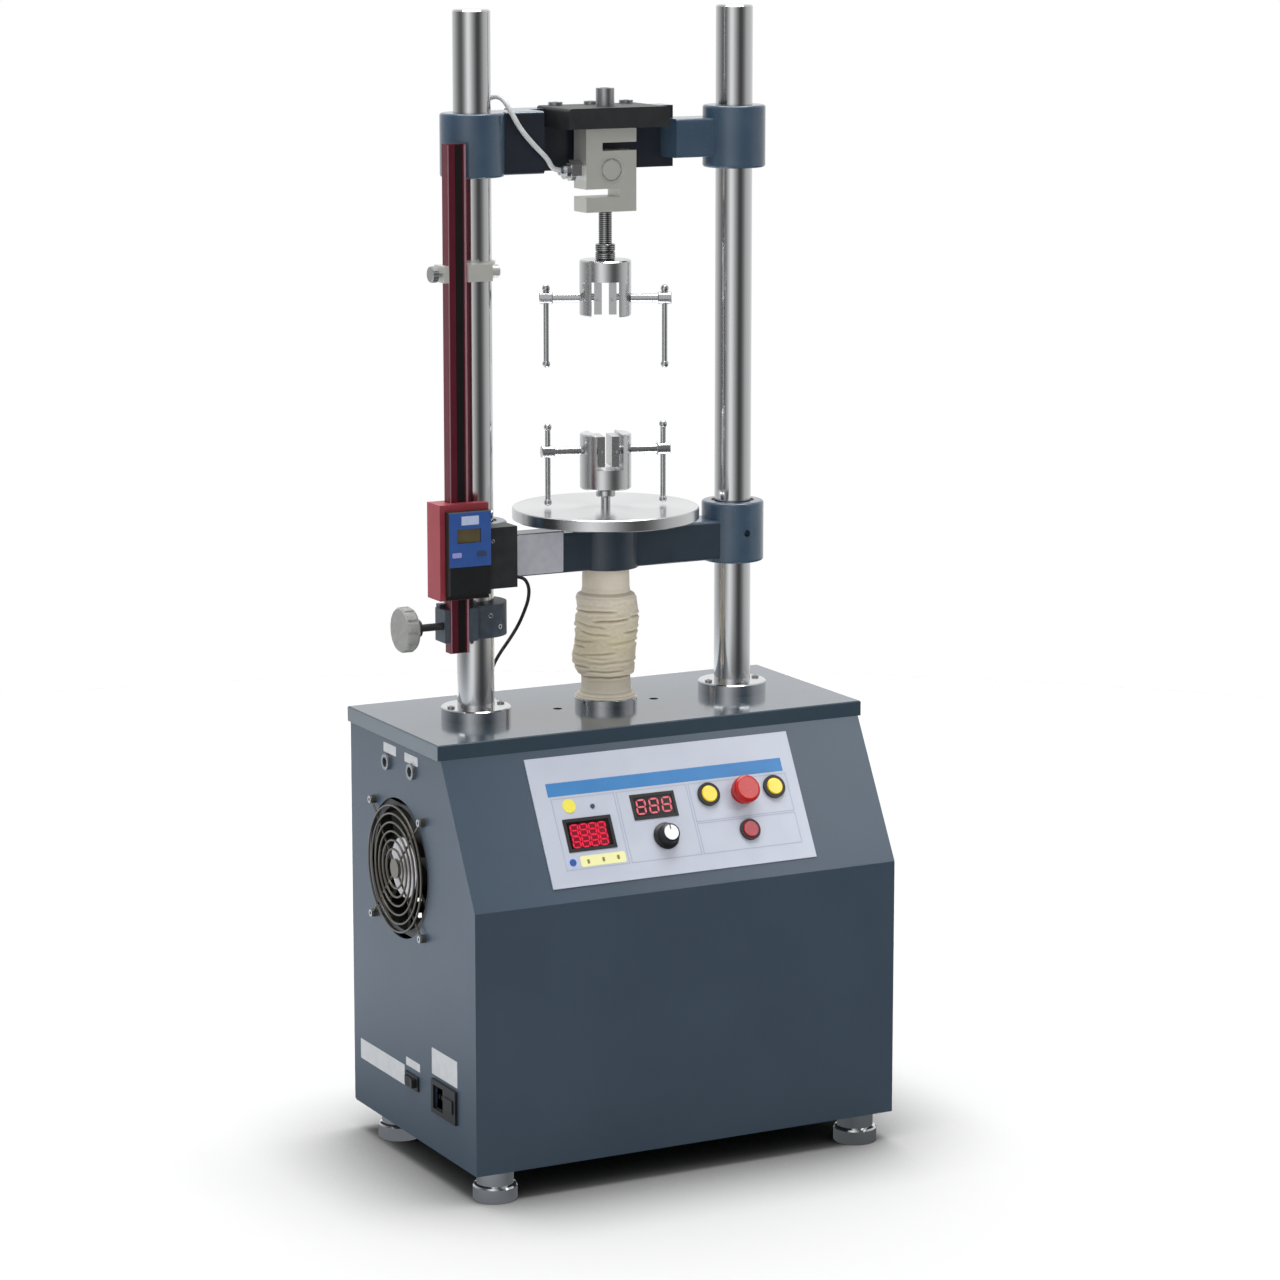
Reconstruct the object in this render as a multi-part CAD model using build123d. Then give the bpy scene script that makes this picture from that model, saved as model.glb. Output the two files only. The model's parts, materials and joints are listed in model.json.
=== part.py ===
from build123d import *
import os
from math import atan2, cos, degrees, hypot, radians, sin, tan

os.makedirs("parts", exist_ok=True)

# Millimetres. X runs to the right, Y to the back, Z up. Heights are measured
# from the top of the table plate, on the load axis, and lift() puts the floor at zero.

# Clearances
SNUG = 0.02
RUNNING = 0.05
CLEAR = 0.3
HOLE_PLAY = 0.1

# Cabinet
CABINET_X = (-213.5, 213.5)
CABINET_FRONT = -166.0
CABINET_BACK = 99.0
CABINET_BOTTOM = -377.0
SLOPE_TOP_Y = -97.0
SLOPE_LOW_Z = -138.0
SHEET = 2.0
COVER_RIM = 12.0
TOP_RIM = 16.0
FOOT_HEIGHT = 27.0

# Table plate
TABLE_X = (-216.5, 216.5)
TABLE_Y = (-97.0, 101.0)
TABLE_THICK = 14.0
TABLE_EDGE = 1.0
TABLE_HOLE_X = 50.0
TABLE_HOLE_RADIUS = 4.25
RAM_BORE = 15.0

# Columns and their flanges
COLUMN_X = 133.0
COLUMN_RADIUS = 17.0
COLUMN_TOP = 640.0
COLUMN_EDGE = 1.5
COLUMN_TAIL_RADIUS = 12.0
COLUMN_TAIL_LOW = -34.0
COLUMN_NUT_RADIUS = 20.0
COLUMN_NUT_THICK = 14.0
FLANGE_RADIUS = 32.0
FLANGE_HIGH = 11.0
FLANGE_EDGE = 1.0
FLANGE_SCREW_CIRCLE = 25.0
RAM_FLANGE_RADIUS = 29.0
RAM_FLANGE_HIGH = 8.0
FLANGE_SCREW_COUNT = 4

# Machine screws
SCREW_RADIUS = 2.0
SCREW_HEAD_RADIUS = 3.4
SCREW_HEAD_HIGH = 1.6
SCREW_LENGTH = 16.0
SCREW_SOCKET = 1.4
SOCKET_SHARE = 0.5
SOCKET_FLOOR_SHARE = 0.3
SHORT_SCREW_LENGTH = 8.0
PLATE_SCREW_RADIUS = 4.0
PLATE_SCREW_HEAD = 6.5
PLATE_SCREW_HIGH = 3.0
PLATE_SCREW_LENGTH = 26.0

# Upper crosshead, which stays still
HUB_RADIUS = 29.0
HUB_EDGE = 2.5
UPPER_HUB = (492.0, 549.0)
UPPER_ARM_Y = (-12.0, 24.0)
UPPER_ARM_HIGH = (502.5, 538.0)
BRIDGE_X = 80.0
BRIDGE_Y = (20.0, 44.0)
BRIDGE_HIGH = (493.0, 549.0)
RECESS_X = 67.0
SADDLE_SCREW_RADIUS = 3.0
CLAMP_SLIT = 3.0
CLAMP_LUG_Y = 40.0
CLAMP_LUG_X = 11.0
CLAMP_LUG_HIGH = 14.0
CLAMP_SCREW_Y = 34.0
ARM_EDGE = 3.0

# Load plate and its bolt
LOAD_PLATE_X = 51.0
LOAD_PLATE_Y = (-30.0, 36.3)
LOAD_PLATE_Z = (532.8, 551.3)
LOAD_PLATE_EDGE = 3.0
PLATE_SCREW_X = 36.0
PLATE_SCREW_Y = 28.5
TOP_BOLT_RADIUS = 6.0
TOP_BOLT_HEAD = 8.4
TOP_BOLT_HIGH = 567.5
TOP_BOLT_SOCKET = 5.0
TOP_BOLT_DEPTH = 7.0
TOP_BOLT_LOW = 524.0

# Load cell
CELL_X = 25.4
CELL_Y = 12.5
CELL_Z = (456.4, 532.6)
CELL_SLOT_END = 9.0
CELL_SLOT_HIGH = 7.4
CELL_UPPER_SLOT = 515.3
CELL_LOWER_SLOT = 473.6
CELL_CENTRE = 494.4
CELL_BORE_RADIUS = 13.0
CELL_BORE_DEPTH = 3.4
CELL_PLUG_RING = 2.8
CELL_PLUG_DISC = 8.8
CELL_THREAD_DEPTH = 10.0

# Load stud and lock nuts
STUD_RADIUS = 6.0
STUD_Z = (404.3, 464.0)
LOCK_NUT_RADIUS = 9.0
LOCK_NUTS_Z = ((412.4, 419.4), (419.7, 426.7))
NUT_SIDES = 6

# Vice grips
GRIP_RADIUS = 23.6
GRIP_HIGH = 51.0
GRIP_EDGE = 1.2
GRIP_SLOT_X = 12.5
GRIP_SLOT_DEEP = 32.0
GRIP_SPINDLE_DEPTH = 16.0
UPPER_GRIP_FACE = 361.3
LOWER_GRIP_FACE = 253.2
UPPER_GRIP_TURN = -27.0
LOWER_GRIP_TURN = -15.0
JAW_X = (3.2, 10.2)
JAW_Y = 13.0
JAW_HIGH = 28.0
JAW_BORE_DEPTH = 4.5
JAW_SCREW_RADIUS = 1.8
JAW_SCREW_DEPTH = 3.0
SPINDLE_RADIUS = 4.0
SPINDLE_TIP = 6.2
SPINDLE_HEAD_RADIUS = 5.75
SPINDLE_HEAD_X = (47.8, 60.2)
SPINDLE_EDGE = 0.8
BAR_RADIUS = 2.5
BAR_BALL_RADIUS = 3.6
BAR_BALL_OFFSET = 34.6
UPPER_BAR_DROP = 26.0
LOWER_BAR_DROP = 12.0

# Lower crosshead, which travels
LOWER_HUB = (125.5, 182.0)
LOWER_ARM_Y = 18.0
LOWER_ARM_HIGH = (129.5, 166.0)
BOSS_RADIUS = 30.0
BOSS_TOP = 174.0
SPIGOT_RADIUS = 19.8
SPIGOT_LOW = 119.0
BUSH_WALL = 3.0
BUSH_INSET = 1.5
HUB_SCREW_RADIUS = 3.2
HUB_SCREW_DEPTH = 6.0

# Platen and lower stud
PLATEN_RADIUS = 86.0
PLATEN_Z = (174.2, 185.2)
PLATEN_EDGE = 0.8
LOWER_STUD_RADIUS = 4.4
LOWER_STUD_Z = (160.0, 210.0)
LOWER_NUT_RADIUS = 9.0
LOWER_NUT_Z = (194.6, 202.0)

# Lifting screw and its nut
RAM_RADIUS = 12.5
RAM_Z = (-178.0, 150.0)
RAM_EDGE = 1.0
NUT_JOURNAL_RADIUS = 24.0
NUT_Z = (-82.0, -20.0)
PULLEY_Z = (-42.0, -24.0)
DRIVE_PULLEY_RADIUS = 40.0
MOTOR_PULLEY_RADIUS = 20.0
PULLEY_RIM = 3.0
PULLEY_RIM_HIGH = 2.0
BELT_THICK = 3.0
BELT_SIDE_PLAY = 0.5
MOTOR_AT = (84.0, 30.0)
MOTOR_SHAFT_RADIUS = 7.0

# Drive frame under the table
FRAME_X = (-62.0, 126.0)
FRAME_Y = (-46.0, 70.0)
FRAME_Z = (-62.0, -50.0)
FRAME_POST_RADIUS = 8.0
FRAME_POSTS = ((-52.0, -36.0), (-52.0, 58.0), (30.0, 60.0), (50.0, -36.0), (112.0, -32.0), (116.0, 60.0))
BEARING_CUP_RADIUS = 34.0
BEARING_CUP_LOW = -84.0

# Gear motor and motor drive
GEARBOX_HALF = 38.0
GEARBOX_Z = (-120.0, -62.3)
MOTOR_RADIUS = 34.0
MOTOR_LOW = -238.0
MOTOR_CAP_RADIUS = 30.0
MOTOR_CAP_LOW = -246.0
MOTOR_REGISTER = 18.0
DRIVE_BOX_X = (-160.0, -30.0)
DRIVE_BOX_Y = (-60.0, 70.0)
DRIVE_BOX_Z = (-374.7, -300.0)
DRIVE_FIN_COUNT = 9
DRIVE_FIN_THICK = 3.0
DRIVE_FIN_HIGH = 16.0
DRIVE_FIN_PITCH = 12.0

# Bellows, an open profile outside and the same profile a wall thinner inside
BELLOWS_WALL = 1.0
BELLOWS_INNER_END = 20.2
BELLOWS_LOW = 8.3
BELLOWS_HIGH = 129.2
BELLOWS_SHAPE = (
    (23.4, 8.3), (23.4, 31.0), (28.6, 34.0), (29.4, 38.5), (25.6, 42.0), (29.6, 47.0),
    (28.8, 53.0), (26.0, 57.5), (29.2, 62.5), (29.8, 69.0), (26.2, 74.5), (30.0, 80.5),
    (30.2, 87.0), (25.8, 92.5), (28.4, 97.5), (26.8, 101.5), (22.4, 104.5), (22.0, 117.0),
    (21.6, 129.2),
)

# Readout on the travelling crosshead
SLIDER_X = (-188.0, -140.0)
SLIDER_Z = (118.5, 205.0)
SLIDER_FRONT_Y = (-44.0, -34.3)
SLIDER_CHEEK_X = -173.8
SLIDER_HOOK_Y = (-22.7, -17.0)
SLIDER_HOOK_X = -164.5
READOUT_X = (-183.0, -141.0)
READOUT_Y = (-52.0, -44.2)
READOUT_Z = (123.0, 199.0)
READOUT_EDGE = 1.5
READOUT_WINDOW_X = (-175.0, -151.0)
READOUT_WINDOW_Z = (170.5, 184.0)
READOUT_WINDOW_DEEP = 1.2
BRACKET_X = (-139.8, -112.0)
BRACKET_Y = (-45.0, -20.0)
BRACKET_Z = (126.0, 181.5)

# Scale beam and its two brackets
BEAM_X = (-173.5, -155.0)
BEAM_Y = (-34.0, -23.0)
BEAM_Z = (68.0, 524.0)
BEAM_STRIP_X = (-166.0, -158.5)
BEAM_STRIP_DEEP = 0.6
CLAMP_Z = (78.0, 108.0)
CLAMP_RING_RADIUS = 28.5
CLAMP_ARM_X = (-179.0, -133.0)
CLAMP_ARM_Y = (-22.8, -13.0)
CLAMP_CHEEK_X = (-179.0, -173.7)
CLAMP_CHEEK_Y = (-34.0, -20.0)
CLAMP_LIP_X = (-154.7, -146.0)
CLAMP_POST_X = (-178.0, -171.0)
CLAMP_POST_Y = (-20.0, -13.0)
CLAMP_POST_TOP = 111.5
COLLAR_Z = (402.0, 417.0)
COLLAR_RADIUS = 20.0
COLLAR_BLOCK_X = (-154.7, -131.0)
COLLAR_BLOCK_Y = (-37.0, -8.0)
COLLAR_ARM_X = (-178.5, -173.7)
COLLAR_BACK_Y = (-22.8, -16.0)
COLLAR_HEAD_RADIUS = 6.0
COLLAR_HEAD_X = (-131.2, -121.0)
COLLAR_HEAD_Y = -26.0

# Clamp knob and collar thumbscrew, both lying along X
KNOB_Y = (BEAM_Y[0] + BEAM_Y[1]) / 2
KNOB_Z = 93.0
KNOB_SHAPE = (
    (0.0, 0.0), (19.0, 0.0), (20.5, 2.0), (20.5, 10.0), (18.5, 12.5), (7.6, 13.5),
    (7.6, 20.0), (3.4, 20.5), (3.4, 47.5), (0.0, 47.5),
)
KNOB_FACE_X = -221.6
KNOB_FLUTES = 12
KNOB_FLUTE_RADIUS = 2.2
KNOB_FLUTE_CIRCLE = 21.6
KNOB_SCREW_BORE = 3.5
THUMB_Y = -28.5
THUMB_Z = 409.5
THUMB_SHAPE = (
    (0.0, 0.0), (6.6, 0.0), (7.3, 0.8), (7.3, 5.6), (6.6, 6.4), (2.5, 6.6), (2.5, 14.6), (0.0, 14.6),
)
THUMB_FACE_X = -188.5
THUMB_FLUTES = 16
THUMB_FLUTE_RADIUS = 0.7
THUMB_FLUTE_CIRCLE = 7.6
THUMB_BORE = 2.6

# Control panel, measured across (x) and down the slope (s) from its top edge
PANEL_X = (-134.0, 134.0)
PANEL_S = (7.5, 128.5)
PANEL_THICK = 1.0
COUNTER_BOX = ((-110.6, -62.6), (66.4, 97.2))
SPEED_BOX = ((-39.6, 5.2), (51.0, 75.0))
DISPLAY_DEEP = 14.0
DISPLAY_PROUD = 1.6
DISPLAY_RIM = 3.0
DISPLAY_WINDOW_DEEP = 0.8
UP_BUTTON_AT = (39.5, 58.8)
DOWN_BUTTON_AT = (107.4, 58.8)
STOP_BUTTON_AT = (73.6, 60.4)
RED_BUTTON_AT = (72.6, 96.0)
SPEED_KNOB_AT = (-12.4, 92.4)
BARREL_RADIUS = 9.0
BARREL_DEEP = 24.0
BARREL_FLOOR = -3.0
BARREL_STEM_BORE = 3.2
BEZEL_HIGH = 2.6
BEZEL_RADIUS = 10.8
RED_BEZEL_RADIUS = 9.9
CAP_RADIUS = 7.7
CAP_PLAY = 0.15
CAP_Z = (0.6, 5.0)
CAP_EDGE = 0.8
STEM_RADIUS = 3.0
STEM_LOW = -20.0
STOP_CAP_RADIUS = 12.9
STOP_CAP_Z = (7.6, 15.6)
STOP_CAP_EDGE = 3.0
SPEED_KNOB_SHAPE = (
    (0.0, 1.4), (12.4, 1.4), (12.4, 2.6), (10.4, 4.0), (9.4, 4.4), (8.6, 12.6),
    (7.0, 13.4), (0.0, 13.4),
)
SPEED_SHAFT_RADIUS = 3.0
SPEED_SHAFT_LOW = -10.0
SPEED_BODY_RADIUS = 8.5
SPEED_BODY_Z = (-13.0, -0.2)
SPEED_NOTCH = (1.2, 3.0)

# Vent slots in the rear cover
VENT_ROWS = 7
VENT_LOW = -210.0
VENT_PITCH = 16.0
VENT_X = (-150.0, 70.0)
VENT_LONG = 80.0
VENT_HIGH = 5.0

# Fan in the left side
FAN_Y = -5.6
FAN_Z = -131.0
FAN_HALF = 60.0
FAN_RIM = 3.0
FAN_SCREW_INSET = 6.5
FAN_TIP_PLAY = 2.5
FAN_HOLE_RIM = 4.5
FAN_HOLE = FAN_HALF + FAN_HOLE_RIM
FAN_DEEP = 25.0
FAN_BORE = FAN_HALF - FAN_RIM
FAN_SCREW = FAN_HALF - FAN_SCREW_INSET
FAN_HUB_RADIUS = 29.0
FAN_HUB_EDGE = 1.5
FAN_STRUT = 5.0
FAN_STRUT_DEEP = 4.0
FAN_BLADES = 7
FAN_BLADE_TIP = FAN_BORE - FAN_TIP_PLAY
FAN_BLADE_THICK = 2.0
FAN_BLADE_WIDE = 20.0
FAN_BLADE_PITCH = 38.0
FAN_AXLE = 3.0
FAN_ROTOR_X = (-209.0, -194.0)
GUARD_INSET = 2.0
GUARD_OUTER = FAN_HALF - GUARD_INSET
GUARD_RING_SHARES = (0.31, 0.45, 0.59, 0.73, 0.87, 1.0)
GUARD_SPOKES = 4
GUARD_SPOKE_TURN = 45.0
GUARD_WIRE = 1.0
GUARD_STEP = 1.5
GUARD_X = -218.2
GUARD_STRUT_X = GUARD_X + GUARD_STEP
GUARD_EYE_RADIUS = 3.9
GUARD_CENTRE_RADIUS = 9.0

# Mains inlet, switch and signal sockets in the left side
INLET_Y = (-126.5, -75.5)
INLET_Z = (-340.5, -309.5)
INLET_PROUD = 2.5
INLET_DEEP = 26.0
INLET_RIM = 4.5
INLET_WELL_Y = (-100.5, -80.0)
INLET_WELL_DEEP = 16.0
INLET_PIN_Y = (-96.0, -90.25, -84.5)
INLET_PIN_THICK = 2.0
INLET_PIN_HIGH = 4.0
INLET_PIN_REACH = 12.0
FUSE_DRAWER_Y = (-122.0, -104.5)
FUSE_DRAWER_Z = (-331.0, -319.0)
FUSE_DRAWER_PROUD = 1.2
SWITCH_Y = (-44.5, -16.5)
SWITCH_Z = (-331.5, -318.0)
SWITCH_RIM = 1.8
SWITCH_PROUD = 1.6
SWITCH_DEEP = 15.0
ROCKER_HALF_Y = 10.0
ROCKER_HALF_Z = 3.8
ROCKER_PLAY = 1.0
ROCKER_TILT = -6.0
ROCKER_X = (-218.0, -209.0)
ROCKER_DIP = 1.6
ROCKER_PIVOT_X = -210.0
ROCKER_PIN = 1.2
SOCKETS_YZ = ((18.5, -37.0), (-35.8, -35.5))
SOCKET_RADIUS = 7.4
SOCKET_BODY_RADIUS = 6.2
SOCKET_PROUD = 3.0
SOCKET_DEEP = 14.0
SOCKET_WELL = 4.6
SOCKET_WELL_DEEP = 6.0
SOCKET_PIN = 0.6
SOCKET_PIN_CIRCLE = 2.4
SOCKET_PIN_COUNT = 4

# Feet
FEET_XY = ((-188.0, -150.0), (183.0, -150.0), (-188.0, 56.0), (183.0, 56.0))
FOOT_SHAPE = (
    (0.0, 27.0), (16.6, 27.0), (16.6, 15.0), (19.0, 14.0), (20.0, 12.5), (20.0, 1.0), (19.0, 0.0), (0.0, 0.0),
)
FOOT_STUD_RADIUS = 4.0
FOOT_STUD_HIGH = 8.0

# Cable glands and cables
CELL_GLAND_X = (-46.5, -25.5)
GLAND_HEX_RADIUS = 9.4
GLAND_HEX_LONG = 12.0
GLAND_DOME_RADIUS = 8.0
GLAND_NOSE_RADIUS = 4.4
TABLE_GLAND_HIGH = 13.0
TABLE_GLAND_HEX = 7.4
TABLE_GLAND_HEX_HIGH = 5.0
TABLE_GLAND_NOSE = 5.2
CELL_CABLE_RADIUS = 2.3
READOUT_CABLE_RADIUS = 1.6
CELL_GLAND_AT = (-114.0, 40.0)
READOUT_GLAND_AT = (-98.0, 47.0)
BEND_SHARE = 0.45
CELL_CABLE_POINTS = (
    (-36.0, 0.0, 494.4), (-49.0, 0.0, 494.4), (-58.0, -7.0, 499.0), (-66.0, -16.5, 506.5),
    (-80.0, -18.0, 519.0), (-93.0, -18.0, 533.0), (-101.5, -16.5, 548.0), (-104.5, -7.0, 560.0),
    (-106.0, 8.0, 563.0), (-108.0, 23.5, 558.0), (-111.0, 35.0, 541.5), (-112.5, 40.5, 514.0),
    (-115.0, 39.0, 466.0), (-113.0, 41.0, 412.0),
    (-115.0, 40.0, 358.0), (-114.0, 42.0, 304.0), (-116.0, 40.5, 250.0), (-113.5, 39.5, 196.0),
    (-115.0, 41.5, 142.0), (-113.0, 40.0, 88.0), (-114.0, 40.0, 40.0), (-114.0, 40.0, 3.0),
)
READOUT_CABLE_POINTS = (
    (-116.0, -37.0, 134.5), (-103.0, -37.0, 134.0), (-95.5, -35.0, 124.0), (-94.0, -30.5, 111.0),
    (-95.0, -23.0, 98.0), (-95.0, -11.5, 84.5), (-96.5, 3.0, 69.5), (-99.0, 19.0, 54.0),
    (-99.5, 33.0, 40.0), (-98.0, 44.0, 26.0), (-98.0, 47.0, 12.0), (-98.0, 47.0, 3.0),
)

# Derived sizes
TABLE_LIFT = FOOT_HEIGHT - CABINET_BOTTOM
CABINET_TOP = -TABLE_THICK
LEFT_WALL = CABINET_X[0]
SLOPE_DROP = CABINET_TOP - SLOPE_LOW_Z
SLOPE_RUN = SLOPE_TOP_Y - CABINET_FRONT
SLOPE_LEAN = degrees(atan2(SLOPE_DROP, SLOPE_RUN))
SLOPE_LONG = hypot(SLOPE_DROP, SLOPE_RUN)
SLOPE = Plane(
    origin=(0, SLOPE_TOP_Y, CABINET_TOP),
    x_dir=(1, 0, 0),
    z_dir=(0, -sin(radians(SLOPE_LEAN)), cos(radians(SLOPE_LEAN))),
)
UPPER_SPINDLE_Z = UPPER_GRIP_FACE + GRIP_SPINDLE_DEPTH
LOWER_SPINDLE_Z = LOWER_GRIP_FACE - GRIP_SPINDLE_DEPTH


def block(x, y, z):
    size = (x[1] - x[0], y[1] - y[0], z[1] - z[0])
    centre = ((x[0] + x[1]) / 2, (y[0] + y[1]) / 2, (z[0] + z[1]) / 2)
    return Pos(*centre) * Box(*size)


def both(half):
    return (-half, half)


def upright(radius, z, at=(0, 0)):
    middle = (z[0] + z[1]) / 2
    return Pos(at[0], at[1], middle) * Cylinder(radius, z[1] - z[0])


def along_x(radius, x, y, z):
    middle = (x[0] + x[1]) / 2
    return Pos(middle, y, z) * Rot(0, 90, 0) * Cylinder(radius, x[1] - x[0])


def along_y(radius, y, x, z):
    middle = (y[0] + y[1]) / 2
    return Pos(x, middle, z) * Rot(90, 0, 0) * Cylinder(radius, y[1] - y[0])


def hexagon(radius, z, at=(0, 0)):
    face = Pos(at[0], at[1], z[0]) * RegularPolygon(radius, NUT_SIDES)
    return extrude(face, z[1] - z[0])


def turned(shape):
    corners = [(radius, 0, height) for radius, height in shape]
    outline = Polyline(*corners, close=True)
    return revolve(make_face(outline), Axis.Z)


def round_edges(shape, z):
    return shape.edges().filter_by(GeomType.CIRCLE).filter_by_position(Axis.Z, z - SNUG, z + SNUG)


def screw(long, radius=SCREW_RADIUS, head=SCREW_HEAD_RADIUS, high=SCREW_HEAD_HIGH):
    body = upright(radius, (-long, 0)) + upright(head, (0, high))
    return body - hexagon(head * SOCKET_SHARE, (high * SOCKET_FLOOR_SHARE, high * 2))



def on_slope(shape, at):
    return SLOPE.location * Pos(at[0], -at[1], 0) * shape


def lift(shape):
    return Pos(0, 0, TABLE_LIFT) * shape


def save(name, *shapes):
    solids = []
    for shape in shapes:
        solids.extend(lift(shape).solids())
    whole = solids[0] if len(solids) == 1 else Compound(children=solids)
    export_step(whole, f"parts/{name}.step")
    print(name, len(solids), round(sum(solid.volume for solid in solids), 1))


def cord(points, radius):
    radii = []
    for before, corner, after in zip(points, points[1:], points[2:]):
        arrive = Vector(*corner) - Vector(*before)
        leave = Vector(*after) - Vector(*corner)
        turn = arrive.get_angle(leave)
        radii.append(BEND_SHARE * min(arrive.length, leave.length) / tan(radians(turn) / 2))
    path = FilletPolyline(*points, radius=radii)
    tube = sweep(Plane(origin=path @ 0, z_dir=path % 0) * Circle(radius), path=path)
    expected = Circle(radius).area * path.length
    print("cord radii", [round(value, 1) for value in radii])
    print("cord volume", round(tube.volume / expected, 4), "length", round(path.length, 1))
    return tube


# Cabinet

def cabinet_profile(inset):
    lean = radians(SLOPE_LEAN)
    lower = SLOPE_LOW_Z - inset * tan((radians(90) - lean) / 2)
    upper = SLOPE_TOP_Y + inset / sin(lean)
    corners = (
        (CABINET_FRONT + inset, CABINET_BOTTOM + inset),
        (CABINET_FRONT + inset, lower),
        (upper, CABINET_TOP),
        (CABINET_BACK, CABINET_TOP),
        (CABINET_BACK, CABINET_BOTTOM + inset),
    )
    outline = Polyline(*[(0, y, z) for y, z in corners], close=True)
    return make_face(outline)


def cabinet_body(inset):
    wide = CABINET_X[1] - CABINET_X[0] - 2 * inset
    return Pos(CABINET_X[0] + inset, 0, 0) * extrude(cabinet_profile(inset), wide, dir=(1, 0, 0))


def cover_screw_points():
    high = CABINET_TOP - TOP_RIM
    low = CABINET_BOTTOM + COVER_RIM
    middle = (high + low) / 2
    side = CABINET_X[1] - COVER_RIM / 2
    across = side / 3
    points = [(-side, middle), (side, middle)]
    for x in (-side, -across, across, side):
        points.append((x, CABINET_TOP - COVER_RIM / 2))
        points.append((x, CABINET_BOTTOM + COVER_RIM / 2))
    return points


def cabinet_shell():
    shell = cabinet_body(0) - cabinet_body(SHEET)
    rim_x = (CABINET_X[0] + SHEET / 2, CABINET_X[1] - SHEET / 2)
    rim_y = (CABINET_BACK - SHEET, CABINET_BACK)
    rim = block(rim_x, rim_y, (CABINET_BOTTOM + SHEET / 2, CABINET_TOP))
    window_x = (CABINET_X[0] + COVER_RIM, CABINET_X[1] - COVER_RIM)
    rim -= block(window_x, (CABINET_BACK - 2 * SHEET, CABINET_BACK + SHEET),
                 (CABINET_BOTTOM + COVER_RIM, CABINET_TOP - COVER_RIM))
    shell += rim
    ledge_y = (SLOPE_TOP_Y + 2 * SHEET, CABINET_BACK - SHEET / 2)
    ledge = block(rim_x, ledge_y, (CABINET_TOP - SHEET, CABINET_TOP))
    ledge -= block((CABINET_X[0] + TOP_RIM, CABINET_X[1] - TOP_RIM),
                   (SLOPE_TOP_Y + TOP_RIM, CABINET_BACK - TOP_RIM),
                   (CABINET_TOP - 2 * SHEET, CABINET_TOP + SHEET))
    shell += ledge
    for x, z in cover_screw_points():
        shell -= along_y(SCREW_RADIUS + HOLE_PLAY, (CABINET_BACK - 2 * SHEET, CABINET_BACK + SHEET), x, z)
    floor = (CABINET_BOTTOM - SHEET, CABINET_BOTTOM + 2 * SHEET)
    for x, y in FEET_XY:
        shell -= upright(FOOT_STUD_RADIUS + HOLE_PLAY, floor, (x, y))
    return side_holes(slope_holes(shell))


def side_holes(shell):
    wall = (LEFT_WALL - SHEET, LEFT_WALL + 2 * SHEET)
    shell -= along_x(FAN_HOLE, wall, FAN_Y, FAN_Z)
    for y, z in fan_corners():
        shell -= along_x(SCREW_RADIUS + HOLE_PLAY, wall, FAN_Y + y, FAN_Z + z)
    inner = INLET_RIM - CLEAR
    shell -= block(wall, (INLET_Y[0] + inner, INLET_Y[1] - inner), (INLET_Z[0] + inner, INLET_Z[1] - inner))
    inner = SWITCH_RIM - CLEAR
    switch_y = (SWITCH_Y[0] + inner, SWITCH_Y[1] - inner)
    shell -= block(wall, switch_y, (SWITCH_Z[0] + inner, SWITCH_Z[1] - inner))
    for y, z in SOCKETS_YZ:
        shell -= along_x(SOCKET_BODY_RADIUS + HOLE_PLAY, wall, y, z)
    return shell


def slope_cutters(margin, z):
    cutters = []
    for at in (UP_BUTTON_AT, DOWN_BUTTON_AT, STOP_BUTTON_AT, RED_BUTTON_AT):
        cutters.append(on_slope(upright(BARREL_RADIUS + margin, z), at))
    cutters.append(on_slope(upright(SPEED_SHAFT_RADIUS + CLEAR, z), SPEED_KNOB_AT))
    for x, s in (COUNTER_BOX, SPEED_BOX):
        size = ((x[0] - margin, x[1] + margin), (-s[1] - margin, -s[0] + margin))
        cutters.append(SLOPE.location * block(size[0], size[1], z))
    return cutters


def slope_holes(shell):
    for cutter in slope_cutters(CLEAR / 2, (-3 * SHEET, SHEET)):
        shell -= cutter
    return shell


def rear_cover():
    y = (CABINET_BACK, CABINET_BACK + SHEET)
    cover = block(CABINET_X, y, (CABINET_BOTTOM + SHEET / 2, CABINET_TOP - CLEAR))
    for x, z in cover_screw_points():
        cover -= along_y(SCREW_RADIUS + HOLE_PLAY, (y[0] - SHEET, y[1] + SHEET), x, z)
    for row in range(VENT_ROWS):
        z = VENT_LOW + row * VENT_PITCH
        for x in VENT_X:
            cover -= block((x, x + VENT_LONG), (y[0] - SHEET, y[1] + SHEET), (z, z + VENT_HIGH))
    return cover


def flange_screw_points():
    points = []
    for step in range(FLANGE_SCREW_COUNT):
        angle = radians(step * 360 / FLANGE_SCREW_COUNT)
        for side in (-1, 1):
            x = side * COLUMN_X + FLANGE_SCREW_CIRCLE * cos(angle)
            points.append((x, FLANGE_SCREW_CIRCLE * sin(angle), FLANGE_HIGH))
    return points


def top_plate():
    plate = block(TABLE_X, TABLE_Y, (CABINET_TOP, 0))
    edges = plate.edges().filter_by_position(Axis.Z, -SNUG, SNUG)
    plate = chamfer(edges, TABLE_EDGE)
    through = (CABINET_TOP - TABLE_THICK, TABLE_THICK)
    for side in (-1, 1):
        plate -= upright(COLUMN_RADIUS + SNUG, (CABINET_TOP / 2, TABLE_THICK), (side * COLUMN_X, 0))
        plate -= upright(COLUMN_TAIL_RADIUS + SNUG, through, (side * COLUMN_X, 0))
        plate -= upright(TABLE_HOLE_RADIUS, through, (side * TABLE_HOLE_X, 0))
    plate -= upright(RAM_BORE, through)
    for x, y, top in flange_screw_points():
        plate -= upright(SCREW_RADIUS + SNUG, (top - SCREW_LENGTH, TABLE_THICK), (x, y))
    return plate


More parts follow.
